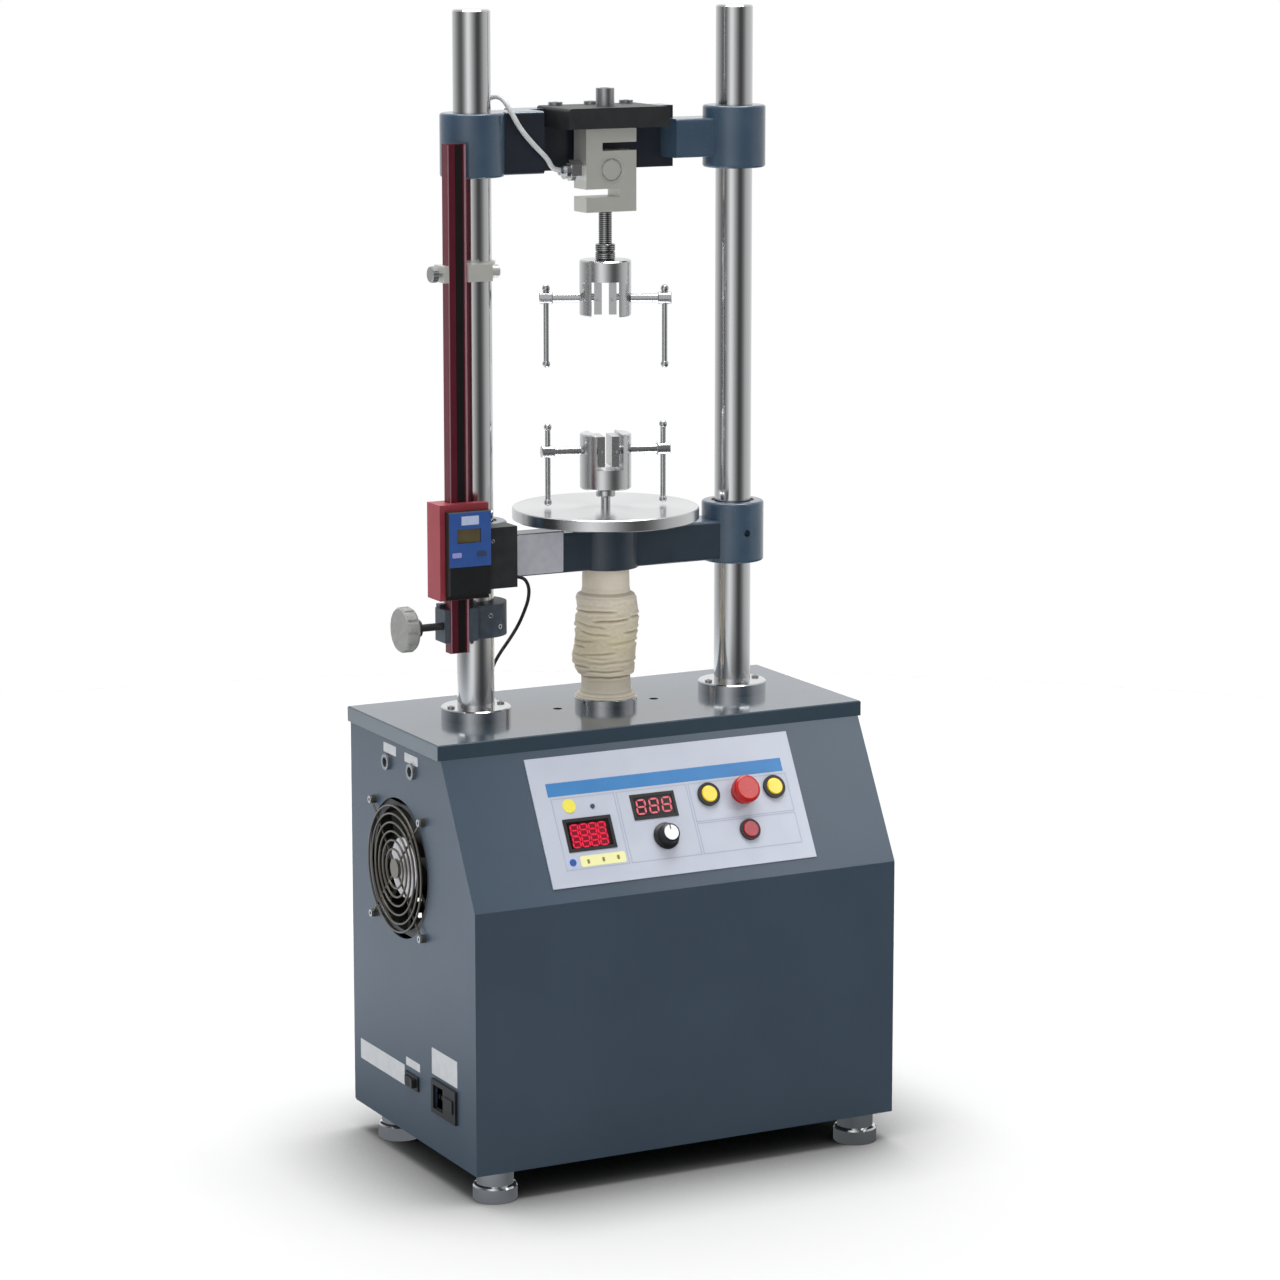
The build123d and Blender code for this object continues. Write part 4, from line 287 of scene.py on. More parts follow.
finishes = {
    # textured polyester powder coat on sheet steel: dull blue-grey with a fine orange-peel skin
    "powderCoatedSteel": {"colour": "#334556", "cloud": ("#364859", 90), "rough": (0.34, 0.46), "grain": 1.3,
        "depth": 0.10, "sockets": {"Specular IOR Level": 0.75}},
    # gloss enamel on ground steel plate: dark, smooth, mirrors its surroundings at a low angle
    "enamelledSteelPlate": {"colour": "#33424e", "cloud": ("#374652", 120), "rough": (0.12, 0.2),
        "grain": 14.0, "depth": 0.01, "sockets": {"Coat Weight": 0.4, "Coat Roughness": 0.1}},
    # stoving enamel over a grey iron casting: soft highlights on the edges and faint sand-cast unevenness
    "paintedCastIron": {"colour": "#3a4e62", "cloud": ("#405568", 30), "rough": (0.2, 0.3), "grain": 5.0,
        "depth": 0.10, "sockets": {"Coat Weight": 0.5, "Coat Roughness": 0.12}},
    # the same enamel where the casting turns from the light: almost black-blue, with a weak shine
    "darkCastIron": {"colour": "#1e242e", "cloud": ("#232a35", 30), "rough": (0.3, 0.4), "grain": 5.0,
        "depth": 0.10},
    # the enamel under the platen, darkened by it
    "shadedCastIron": {"colour": "#2a3642", "cloud": ("#2f3c49", 30), "rough": (0.25, 0.35), "grain": 5.0,
        "depth": 0.10, "sockets": {"Coat Weight": 0.3, "Coat Roughness": 0.12}},
    # hard chrome plated and ground shaft: near mirror with very fine grinding marks round it
    "hardChromedSteel": {"colour": "#d6d7d8", "metal": 1.0, "rough": (0.10, 0.17), "grain": 0.9,
        "stretch": (1, 1, 8), "depth": 0.001},
    # decorative chrome on turned steel: bright, with soft-edged reflections
    "brightChrome": {"colour": "#d9dadc", "metal": 1.0, "rough": (0.08, 0.16), "grain": 2.0, "depth": 0.002},
    # the same chrome on small sockets, dulled by handling: mid grey with weak reflections
    "agedChrome": {"colour": "#8e9195", "metal": 0.8, "rough": (0.26, 0.38)},
    # nickel plate on drawn wire, dulled with age: bronze-grey lines with a thin shine along each
    "nickelPlatedWire": {"colour": "#6b655c", "metal": 0.7, "rough": (0.24, 0.36), "depth": 0.003},
    # black oxide on ground steel: nearly black, dull
    "blackOxidedSteel": {"colour": "#242527", "cloud": ("#2b2c2e", 12), "rough": (0.42, 0.55), "depth": 0.01},
    # phosphate coat on milled steel: blue-grey, matt, lighter than the black oxide
    "phosphatedSteel": {"colour": "#49525c", "cloud": ("#535d68", 8), "metal": 0.4, "rough": (0.4, 0.55),
        "grain": 0.7, "depth": 0.01},
    # satin nickel plate on tool steel: warm pale grey, soft reflections
    "satinNickelPlate": {"colour": "#dfdfd8", "metal": 0.6, "rough": (0.34, 0.45)},
    # turned and polished steel: rings round the axis catch the light
    "turnedSteel": {"colour": "#dadbdc", "metal": 1.0, "rough": (0.13, 0.27), "grain": 0.5, "turned": True,
        "sockets": {"Anisotropic": 0.7}},
    # cut thread on a steel stud: fine roots darkened by painted shade and bright crests one above the other
    "threadedSteel": {"colour": "#c4c5c6", "metal": 1.0, "rough": (0.2, 0.32), "grain": 0.5, "turned": True,
        "threadPitch": 1.75, "threadRootShade": "#2c2d30"},
    # surface-ground tool steel: fine lines one way, so its shine is drawn out along them
    "groundSteel": {"colour": "#cbcccd", "metal": 1.0, "rough": (0.2, 0.34), "grain": 0.6,
        "stretch": (1, 1, 0.2)},
    # zinc plate on screws: bluish silver, a little cloudy
    "zincPlatedSteel": {"colour": "#b4b6b8", "metal": 1.0, "rough": (0.28, 0.42), "grain": 0.7,
        "depth": 0.003},
    # cast bearing bronze: brownish gold, turned, oily
    "bearingBronze": {"colour": "#9a7438", "metal": 1.0, "rough": (0.3, 0.45), "depth": 0.006},
    # screen-printed polyester film over aluminium: cold white with a faint satin skin
    "printedPolyesterFilm": {"colour": "#babfcc", "cloud": ("#b5bac8", 40), "rough": (0.34, 0.44)},
    # the same film printed sky blue: flat colour under the satin skin
    "blueFilmPrint": {"colour": "#3478b4", "cloud": ("#397db8", 30)},
    # the same film printed grey: the thin lines that part its fields
    "greyFilmPrint": {"colour": "#a3a9bb", "rough": (0.4, 0.5), "depth": 0.002},
    # the same film printed yellow, for a key
    "yellowFilmPrint": {"colour": "#e9dc55"},
    # a paler yellow print, the strip of keys below the counter
    "paleYellowFilmPrint": {"colour": "#e8e6a8"},
    # olive print, for three small marks on that strip
    "oliveFilmPrint": {"colour": "#7d7a3a"},
    # dark blue print, for lamps and small marks
    "darkFilmPrint": {"colour": "#31405c"},
    # lilac print on the readout's keys
    "lilacFilmPrint": {"colour": "#8f90cc"},
    # injection moulded ABS, black, lightly spark-eroded: a broad weak shine
    "blackAbs": {"colour": "#17181a", "cloud": ("#1b1c1e", 10), "rough": (0.36, 0.5), "grain": 0.5,
        "depth": 0.015},
    # smoked acrylic window over light-emitting digits: glossy and almost black
    "smokedAcrylic": {"colour": "#14060a", "rough": (0.12, 0.18), "grain": 20, "depth": 0.0,
        "sockets": {"Specular IOR Level": 0.15}},
    # red acrylic window lit from behind: glossy, glows evenly
    "redGlowAcrylic": {"colour": "#5e0e1e", "rough": (0.2, 0.28), "grain": 20, "depth": 0.0,
        "sockets": {"Emission Color": linear("#8c1428"), "Emission Strength": 0.3,
        "Specular IOR Level": 0.15}},
    # lit bars of the counter's digits: full red light
    "litDigitRed": {"colour": "#c81f3c", "rough": (0.3, 0.35), "grain": 20, "depth": 0.0,
        "sockets": {"Emission Color": linear("#d42440"), "Emission Strength": 0.5,
        "Specular IOR Level": 0.1}},
    # lit bars of the speed display: paler, rosy light
    "paleDigitRed": {"colour": "#c0505e", "rough": (0.3, 0.35), "grain": 20, "depth": 0.0,
        "sockets": {"Emission Color": linear("#e08088"), "Emission Strength": 0.4,
        "Specular IOR Level": 0.1}},
    # moulded acrylic push-button caps, yellow: saturated colour under a gloss skin
    "yellowAcrylicCap": {"colour": "#efcf2e", "cloud": ("#eccb28", 6), "rough": (0.2, 0.28), "grain": 3},
    # the same acrylic in signal red: deep and glossy
    "redAcrylicCap": {"colour": "#b51412", "cloud": ("#ae1010", 6), "rough": (0.22, 0.3), "grain": 3},
    # and in crimson, a shade darker and colder than the red
    "crimsonAcrylicCap": {"colour": "#a00c26", "cloud": ("#980a22", 6), "rough": (0.22, 0.3), "grain": 3},
    # spun aluminium knob insert: almost white, with a satin ring of light
    "spunAluminium": {"colour": "#eceded", "metal": 0.5, "rough": (0.34, 0.44), "grain": 0.4},
    # grey moulded knob with a hammered skin: matt, mottled
    "greyKnobPlastic": {"colour": "#939492", "cloud": ("#888987", 5), "rough": (0.45, 0.6), "depth": 0.03},
    # anodised aluminium in wine red, drawn lengthwise: long soft streaks of light
    "wineAnodisedAluminium": {"colour": "#6d2233", "cloud": ("#722537", 20), "metal": 0.55,
        "rough": (0.3, 0.42), "grain": 0.5, "stretch": (1, 1, 0.02), "depth": 0.003},
    # anodised aluminium in a lighter red, for the slider: duller, rosy
    "redAnodisedAluminium": {"colour": "#a33d48", "cloud": ("#a8424d", 20), "metal": 0.3,
        "rough": (0.34, 0.46), "grain": 0.5, "stretch": (1, 1, 0.02), "depth": 0.003},
    # magnetic tape in its groove: almost black brown with a faint shine
    "magneticTape": {"colour": "#120a0c", "cloud": ("#160e10", 20), "rough": (0.3, 0.4), "depth": 0.002},
    # worn edges of the anodised beam: rosy bare metal
    "paleEdgeAluminium": {"colour": "#b58a93", "metal": 0.5, "rough": (0.3, 0.42), "grain": 0.5,
        "stretch": (1, 1, 0.02), "depth": 0.002},
    # blue polyester film on the readout's face: saturated, satin
    "blueFaceFilm": {"colour": "#264e94", "cloud": ("#2a5298", 12), "rough": (0.3, 0.4), "depth": 0.003},
    # liquid crystal glass that shows nothing: brown-olive, glossy
    "liquidCrystal": {"colour": "#5a5138", "cloud": ("#534a33", 8), "rough": (0.12, 0.2), "grain": 10,
        "depth": 0.0},
    # bare aluminium plate, brushed lengthwise: soft pale grey
    "palePlateAluminium": {"colour": "#c6c7cf", "cloud": ("#bdbec7", 9), "metal": 0.1, "rough": (0.36, 0.5),
        "grain": 0.5, "stretch": (0.05, 1, 1), "depth": 0.003},
    # bare foil label on the fan's hub: bright silver, slightly crinkled
    "silverFoilLabel": {"colour": "#f2f3f7", "cloud": ("#dcdde4", 7), "metal": 0.3, "rough": (0.3, 0.42),
        "grain": 2.0, "depth": 0.05},
    # bare white vinyl labels: greyed, slightly waxy
    "whiteLabelVinyl": {"colour": "#c6c9cc", "cloud": ("#bfc2c6", 9), "rough": (0.4, 0.5)},
    # bare vinyl with a blue cast, on the readout
    "paleBlueVinyl": {"colour": "#b4bfdc", "cloud": ("#acb8d6", 6), "rough": (0.4, 0.5), "depth": 0.003},
    # extruded and cast aluminium of the drive, unpainted: dull silver with a cast skin
    "castAluminium": {"colour": "#9fa2a5", "metal": 0.9, "rough": (0.36, 0.5), "grain": 1.2, "depth": 0.02},
    # black stoved enamel of motor and drive unit: even, half dull
    "blackStovedEnamel": {"colour": "#25272b", "cloud": ("#2a2c30", 14), "rough": (0.35, 0.5), "grain": 0.9,
        "depth": 0.03},
    # chloroprene drive belt: black, dull, dusty
    "chloropreneRubber": {"colour": "#1d1d1e", "cloud": ("#232324", 9), "rough": (0.55, 0.7), "grain": 0.6,
        "depth": 0.03},
    # vinyl sheath of the load cell's cable: light grey, a soft line of light along it
    "greyVinylSheath": {"colour": "#cfd1d1", "cloud": ("#c4c6c7", 9), "depth": 0.01},
    # vinyl sheath of the readout's cable: black, the same soft line
    "blackVinylSheath": {"colour": "#1c1c1f", "cloud": ("#232326", 9), "depth": 0.01},
}
finish = {name: makeFinish(name, look) for name, look in finishes.items()}
print("materials mixed:", len(finish))


nodeFinish = {
    "powderCoatedSteel": ["cabinet_shell", "rear_cover"],
    "enamelledSteelPlate": ["top_plate"],
    "hardChromedSteel": ["column_left", "column_right", "ram_screw"],
    "brightChrome": ["base_flanges", "feet", "cable_glands"],
    "agedChrome": ["signal_sockets"],
    "nickelPlatedWire": ["fan_guard"],
    "paintedCastIron": ["upper_crosshead", "lower_crosshead"],
    "blackOxidedSteel": ["load_plate"],
    "phosphatedSteel": ["scale_brackets"],
    "satinNickelPlate": ["load_cell"],
    "turnedSteel": ["platen", "upper_grip_body", "lower_grip_body", "lower_stud"],
    "threadedSteel": ["load_stud"],
    "groundSteel": [f"{end}_{hand}_{piece}" for end in ("upper", "lower") for hand in ("left", "right")
                    for piece in ("jaw", "spindle", "bar")],
    "zincPlatedSteel": ["machine_screws", "collar_thumbscrew"],
    "bearingBronze": ["column_bushings", "drive_pulley"],
    "printedPolyesterFilm": ["control_panel"],
    "blackAbs": ["panel_displays", "power_inlet", "power_rocker", "fan_frame", "fan_rotor", "readout_housing",
                 "speed_knob"],
    "yellowAcrylicCap": ["up_button", "down_button"],
    "redAcrylicCap": ["stop_button"],
    "crimsonAcrylicCap": ["red_button"],
    "greyKnobPlastic": ["clamp_knob"],
    "wineAnodisedAluminium": ["scale_beam"],
    "redAnodisedAluminium": ["readout_slider"],
    "castAluminium": ["drive_frame", "motor_pulley"],
    "blackStovedEnamel": ["gear_motor", "motor_drive"],
    "chloropreneRubber": ["drive_belt"],
}
for material, names in nodeFinish.items():
    for name in names:
        mesh = nodes[name].data
        mesh.materials.clear()
        mesh.materials.append(finish[material])


def tablePlace(point):
    return point.x / mm, point.y / mm, point.z / mm - tableHeight


slopeBack = slopePlace.inverted()


def slopeSpot(point):
    local = slopeBack @ point
    return local.x / mm, -local.y / mm, local.z / mm


def paintFaces(name, material, wanted):
    # gives the faces that wanted(middle, normal) picks a finish of their own
    mesh = nodes[name].data
    mesh.materials.append(finish[material])
    index = len(mesh.materials) - 1
    for face in mesh.polygons:
        if wanted(Vector(face.center), Vector(face.normal)):
            face.material_index = index


# round places on the control face: across, down, radius
faceSpots = {
    "up": (39.5, 58.8, 11.2), "down": (107.4, 58.8, 11.2), "stop": (73.6, 60.4, 11.2),
    "red": (72.6, 96.0, 10.3), "knob": (-12.4, 92.4, 9.0), "insert": (-12.4, 92.4, 6.5),
}
# where one node changes its finish, in millimetres
finishEdges = {
    "insertHeight": 12.2, "sliderBracket": -139.9, "clampStem": -207.6, "fanHub": (-5.6, -131.0),
    "hubRadius": 27.6, "upperShade": (-104, 80), "recessHalf": 67, "lowerShade": 104, "upperBracket": 300,
}
# a face looks one way when its normal has more than this along it
facing = 0.5
squarely = 0.95


def near(point, *names):
    across, down, out = slopeSpot(point)
    return any(math.hypot(across - x, down - s) < radius for x, s, radius in map(faceSpots.get, names))


def onInsert(point, normal):
    return slopeSpot(point)[2] > finishEdges["insertHeight"] and near(point, "insert")


def onFanHub(point, normal):
    x, y, z = tablePlace(point)
    hubY, hubZ = finishEdges["fanHub"]
    return normal.x < -squarely and math.hypot(y - hubY, z - hubZ) < finishEdges["hubRadius"]


def inUpperShade(point, normal):
    # the left arm's front and the bridge's recess
    x = tablePlace(point)[0]
    left, right = finishEdges["upperShade"]
    if not left < x < right or normal.z >= facing:
        return False
    return normal.y < -facing or abs(x) < finishEdges["recessHalf"]


def inLowerShade(point, normal):
    return normal.z < facing and abs(tablePlace(point)[0]) < finishEdges["lowerShade"]


paintFaces("control_panel", "blackAbs", lambda p, n: near(p, "up", "down", "red", "knob"))
paintFaces("control_panel", "redAcrylicCap", lambda p, n: near(p, "stop"))
paintFaces("speed_knob", "spunAluminium", onInsert)
paintFaces("readout_slider", "blackOxidedSteel", lambda p, n: tablePlace(p)[0] > finishEdges["sliderBracket"])
paintFaces("clamp_knob", "blackOxidedSteel", lambda p, n: tablePlace(p)[0] > finishEdges["clampStem"])
paintFaces("fan_rotor", "silverFoilLabel", onFanHub)
paintFaces("upper_crosshead", "darkCastIron", inUpperShade)
paintFaces("lower_crosshead", "shadedCastIron", inLowerShade)
paintFaces("scale_brackets", "satinNickelPlate", lambda p, n: tablePlace(p)[2] > finishEdges["upperBracket"])
print("finishes given")


# Small pieces on the control face and the other bare plates
def clearSelection():
    bpy.ops.object.select_all(action="DESELECT")


def pick(piece):
    clearSelection()
    piece.select_set(True)
    bpy.context.view_layer.objects.active = piece


def newPiece(name):
    # names what an add operator has just made
    piece = bpy.context.object
    piece.name = name
    return piece


def setMode(mode):
    bpy.ops.object.mode_set(mode=mode)


def settle(piece, place=None):
    # puts the place into the mesh, so that the object itself sits at the origin
    if place is not None:
        piece.matrix_world = place @ piece.matrix_world
    pick(piece)
    bpy.ops.object.transform_apply(location=True, rotation=True, scale=True)
    piece.select_set(False)


def applyModifiers(piece):
    pick(piece)
    for modifier in list(piece.modifiers):
        bpy.ops.object.modifier_apply(modifier=modifier.name)
    piece.select_set(False)


def roundEdges(piece, width):
    rounding = piece.modifiers.new("edge", "BEVEL")
    rounding.width, rounding.segments, rounding.limit_method = width * mm, 2, "ANGLE"
    applyModifiers(piece)


def plate(name, low, high, corner, edge):
    # a thin plate with rounded corners, thin along z
    clearSelection()
    middle = [(a + b) / 2 * mm for a, b in zip(low, high)]
    size = [(b - a) * mm for a, b in zip(low, high)]
    bpy.ops.mesh.primitive_cube_add(size=1.0, location=middle, scale=size)
    piece = newPiece(name)
    bpy.ops.object.transform_apply(location=True, rotation=True, scale=True)
    if corner:
        setMode("EDIT")
        bpy.ops.mesh.select_all(action="DESELECT")
        shape = bmesh.from_edit_mesh(piece.data)
        for line in shape.edges:
            a, b = line.verts
            alongThickness = (a.co - b.co).xy.length < 1e-7
            if alongThickness:
                line.select_set(True)
        bmesh.update_edit_mesh(piece.data)
        bpy.ops.mesh.bevel(offset=corner * mm, segments=5, affect="EDGES")
        setMode("OBJECT")
    if edge:
        roundEdges(piece, edge)
    return piece


def joinPieces(name, pieces):
    clearSelection()
    for piece in pieces:
        piece.select_set(True)
    bpy.context.view_layer.objects.active = pieces[0]
    if len(pieces) > 1:
        bpy.ops.object.join()
    joined = bpy.context.object
    joined.name = name
    joined.data.name = name
    joined.select_set(False)
    return joined


def dress(piece, material, body):
    piece.data.materials.clear()
    piece.data.materials.append(finish[material])
    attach(piece, body)


# a print's height over the film, and how deep its underside sits in it
filmTop = 1.0
printThick = 0.12
printSunk = 0.02
# flat prints have an area, across and down; round marks that stand out have a middle, a radius and a height
panelPrints = {
    "panelStripe": {"area": ((-119.0, 121.0), (32.0, 44.5)), "finish": "blueFilmPrint"},
    "panelFrameLines": {
        "frames": (((-117.0, -54.0), (46.5, 113.5)), ((-52.0, 19.5), (46.5, 113.5)),
                   ((21.3, 123.0), (46.5, 83.0)), ((21.3, 123.0), (84.2, 113.5))),
        "lineWide": 0.7, "finish": "greyFilmPrint",
    },
    "panelYellowKey": {"spot": (-100.6, 54.5), "radius": 6.5, "high": 0.5, "finish": "yellowFilmPrint"},
    "panelLamp": {"spot": (-77.8, 57.0), "radius": 2.2, "high": 0.9, "finish": "darkFilmPrint"},
    "panelBlueSquare": {"area": ((-114.6, -104.0), (101.4, 111.6)), "corner": 1.0, "finish": "paleBlueVinyl"},
    "panelBlueKey": {"spot": (-109.3, 106.4), "radius": 3.3, "high": 0.5, "finish": "blueFaceFilm"},
    "panelKeyStrip": {"area": ((-101.6, -56.6), (101.4, 111.4)), "corner": 2.0,
                      "finish": "paleYellowFilmPrint"},
}
keyMarks = {
    "spots": ((-94.0, 107.0), (-78.9, 106.6), (-64.0, 106.2)), "halfSize": (1.2, 2.0), "high": 0.3,
    "corner": 0.8,
}
# no mark's edge is rounded more than this, nor more than a third of its height
markEdge = 0.3


def filmMark(name, across, down, corner=0.0):
    low = (across[0], -down[1], filmTop - printSunk)
    return plate(name, low, (across[1], -down[0], filmTop + printThick), corner, 0)


def roundMark(name, look):
    (x, s), high = look["spot"], look["high"]
    clearSelection()
    bpy.ops.mesh.primitive_cylinder_add(vertices=48, radius=look["radius"] * mm, depth=high * mm,
                                        location=(x * mm, -s * mm, (filmTop + high / 2 - printSunk) * mm))
    piece = newPiece(name)
    roundEdges(piece, min(markEdge, high / 3))
    return piece


def framePrint(name, look):
    wide = look["lineWide"]
    lines = []
    for (left, right), (top, bottom) in look["frames"]:
        lines.append(filmMark("line", (left, right), (top, top + wide)))
        lines.append(filmMark("line", (left, right), (bottom - wide, bottom)))
        lines.append(filmMark("line", (left, left + wide), (top, bottom)))
        lines.append(filmMark("line", (right - wide, right), (top, bottom)))
    return joinPieces(name, lines)


def placeOnPanel(piece, material):
    settle(piece, slopePlace)
    dress(piece, material, "frame")


for name, look in panelPrints.items():
    if "frames" in look:
        mark = framePrint(name, look)
    elif "spot" in look:
        mark = roundMark(name, look)
    else:
        mark = filmMark(name, *look["area"], look.get("corner", 0.0))
    placeOnPanel(mark, look["finish"])
for index, (x, s) in enumerate(keyMarks["spots"]):
    wide, high = keyMarks["halfSize"]
    mark = plate(f"panelKeyMark{index + 1}", (x - wide, -s - high, filmTop),
                 (x + wide, -s + high, filmTop + keyMarks["high"]), keyMarks["corner"], 0)
    placeOnPanel(mark, "oliveFilmPrint")


# seven-segment digits in the two windows
displays = {
    "counter": {"box": ((-107.6, -65.6), (69.4, 94.2)), "lit": ((-105.4, -69.0), (72.0, 93.4)),
                "rows": 2, "digits": 4, "size": (9.0, 12.2), "bars": "litDigitRed"},
    "speed": {"box": ((-36.6, 2.2), (54.0, 72.0)),
              "rows": 1, "digits": 3, "size": (10.6, 15.6), "bars": "paleDigitRed"},
}
windowFloor = 0.8
windowFilm = {"inset": 0.4, "high": 0.08, "corner": 0.8, "finish": "smokedAcrylic"}
glowFilm = {"inset": 0.0, "high": 0.12, "corner": 1.6, "finish": "redGlowAcrylic"}
digitLook = {
    # shares of its field, of its width, of a bar's room and of its height
    "wide": 0.78, "high": 0.82, "thick": 0.24, "long": 0.96, "slant": 0.12,
    "barHigh": 0.16, "barMiddle": 0.2,
    # the bars of an eight: shares of width and height from its middle, and whether upright
    "bars": ((0, 0.5, False), (0, -0.5, False), (0, 0, False), (-0.5, 0.25, True), (0.5, 0.25, True),
             (-0.5, -0.25, True), (0.5, -0.25, True)),
}


def layWindow(name, area, look):
    (left, right), (top, bottom) = area
    low = (left + look["inset"], -bottom + look["inset"], windowFloor - printSunk)
    high = (right - look["inset"], -top - look["inset"], windowFloor + look["high"])
    placeOnPanel(plate(name, low, high, look["corner"], 0), look["finish"])


def makeBar():
    # one bar of a digit: flat and six-sided, with pointed ends
    clearSelection()
    bpy.ops.mesh.primitive_cylinder_add(vertices=6, radius=0.5, depth=1.0, rotation=(0, 0, math.pi / 2))
    bar = newPiece("digitBar")
    bpy.ops.object.transform_apply(location=False, rotation=True, scale=False)
    return bar


digitBar = makeBar()


def copyBar(place, size, upright):
    bar = digitBar.copy()
    bar.data = digitBar.data.copy()
    sceneObjects.link(bar)
    turn = Matrix.Rotation(math.pi / 2 if upright else 0.0, 4, "Z")
    grow = Matrix.Diagonal((size[0], size[1], digitLook["barHigh"] * mm, 1.0))
    middle = (windowFloor + digitLook["barMiddle"]) * mm
    bar.data.transform(Matrix.Translation((*place, middle)) @ turn @ grow)
    return bar


def makeDigit(centre, size):
    wide, high = size[0] * digitLook["wide"] * mm, size[1] * digitLook["high"] * mm
    bars = []
    for shareX, shareY, upright in digitLook["bars"]:
        long = (high / 2 if upright else wide) * digitLook["long"]
        offset = (shareX * wide, shareY * high)
        spot = (centre[0] + offset[0] + offset[1] * digitLook["slant"], centre[1] + offset[1])
        bars.append(copyBar(spot, (long, wide * digitLook["thick"]), upright))
    return bars


for name, look in displays.items():
    layWindow(name + "Window", look["box"], windowFilm)
    if "lit" in look:
        # behind the digits the glass glows; its edges stay dark
        layWindow(name + "Glow", look["lit"], glowFilm)
    (left, right), (top, bottom) = look.get("lit", look["box"])
    pitchX = (right - left) / look["digits"]
    pitchY = (bottom - top) / look["rows"]
    bars = []
    for line in range(look["rows"]):
        for digit in range(look["digits"]):
            centre = ((left + pitchX * (digit + 0.5)) * mm, -(top + pitchY * (line + 0.5)) * mm)
            bars += makeDigit(centre, look["size"])
    placeOnPanel(joinPieces(name + "Digits", bars), look["bars"])
bpy.data.objects.remove(digitBar)
print("control face printed")


# Bare plates and labels: span across, span up, then turned onto the face that carries them
plateSunk = 0.05
leftWall = -213.5
plainLabel = {"thick": 0.2, "corner": 0.8, "edge": 0.08, "finish": "whiteLabelVinyl", "body": "frame",
              "slot": "cabinet_paint"}
typePlate = {"front": -18.0, "corner": 1.6, "body": "crosshead", "slot": "casting_paint"}
bareLabels = {
    "typePlate": {**typePlate, "across": (-99.6, -52.8), "up": (131.0, 168.0), "thick": 0.6,
                  "finish": "palePlateAluminium"},
    "rearSocketLabel": {"across": (-0.9, 26.6), "up": (-28.6, -19.6)},
    "frontSocketLabel": {"across": (-48.2, -19.6), "up": (-29.0, -20.6)},
    "voltageLabel": {"across": (-13.0, 86.0), "up": (-333.0, -314.0)},
    "switchLabel": {"across": (-47.0, -16.6), "up": (-312.6, -305.0)},
    "inletLabel": {"across": (-127.0, -73.0), "up": (-306.0, -281.6)},
    "typePlateEdge": {**typePlate, "across": (-100.4, -52.0), "up": (130.2, 168.8), "thick": 0.35,
                      "finish": "phosphatedSteel"},
}


def frontPlace(y):
    # local x stays x, local y becomes z, the thickness points to the front
    return Matrix.Translation(row(0, y, 0)) @ Matrix.Rotation(math.pi / 2, 4, "X")


def wallPlace():
    # on the left wall: local x becomes y reversed, local y becomes z, the thickness points to the left
    turn = Matrix.Rotation(-math.pi / 2, 4, "Z") @ Matrix.Rotation(math.pi / 2, 4, "X")
    return Matrix.Translation(row(leftWall, 0, 0)) @ turn


def layPlate(name, look):
    (left, right), (low, high) = look["across"], look["up"]
    piece = plate(name, (left, low, -plateSunk), (right, high, look["thick"]), look["corner"], look["edge"])
    if "front" not in look:
        # the turn onto the wall reverses x, so the plate is mirrored first
        for vertex in piece.data.vertices:
            vertex.co.x = -vertex.co.x
        piece.data.flip_normals()
    settle(piece, frontPlace(look["front"]) if "front" in look else wallPlace())
    dress(piece, look["finish"], look["body"])


for name, look in bareLabels.items():
    layPlate(name, {**plainLabel, **look})
print("bare plates fixed")


# Readout face on the travelling box
readoutFront = -52.0
blueFace = {"outside": ((-182.4, -141.6), (149.5, 198.4)), "window": ((-174.6, -151.4), (170.9, 183.6)),
            "thick": 0.25}
readoutPlate = {"edge": 0, "body": "crosshead", "slot": "black_plastic"}
readoutKey = {"up": (158.2, 162.8), "front": readoutFront - 0.25, "thick": 0.5, "corner": 1.2, "edge": 0.15}
readoutPlates = {
    "sliderLowerCover": {"across": (-182.8, -140.2), "up": (118.8, 122.6), "front": -44.0, "thick": 0.8,
                         "corner": 0.4, "edge": 0.2, "finish": "blackAbs"},
    "readoutScreen": {"across": (-174.6, -151.4), "up": (170.9, 183.6), "front": readoutFront + 1.2,
                      "thick": 0.4, "corner": 0.5, "finish": "liquidCrystal"},
    "readoutSticker": {"across": (-170.5, -153.5), "up": (187.2, 195.2), "front": readoutFront - 0.25,
                       "thick": 0.15, "corner": 0.6, "finish": "paleBlueVinyl"},
    "readoutKey1": {**readoutKey, "across": (-179.8, -170.6), "finish": "lilacFilmPrint"},
    "readoutKey2": {**readoutKey, "across": (-155.2, -146.0), "finish": "darkFilmPrint"},
}


def makeBlueFace(look):
    # the blue film has a window over the recess, so it is built as four strips round it
    (left, right), (low, high) = look["outside"]
    (inLeft, inRight), (inLow, inHigh) = look["window"]
    pieces = []
    for x, z in (((left, inLeft), (low, high)), ((inRight, right), (low, high)),
                 ((inLeft, inRight), (low, inLow)), ((inLeft, inRight), (inHigh, high))):
        pieces.append(plate("strip", (x[0], z[0], -plateSunk), (x[1], z[1], look["thick"]), 0, 0))
    film = joinPieces("readoutBlueFace", pieces)
    settle(film, frontPlace(readoutFront))
    dress(film, "blueFaceFilm", "crosshead")


makeBlueFace(blueFace)
for name, look in readoutPlates.items():
    layPlate(name, {**readoutPlate, **look})


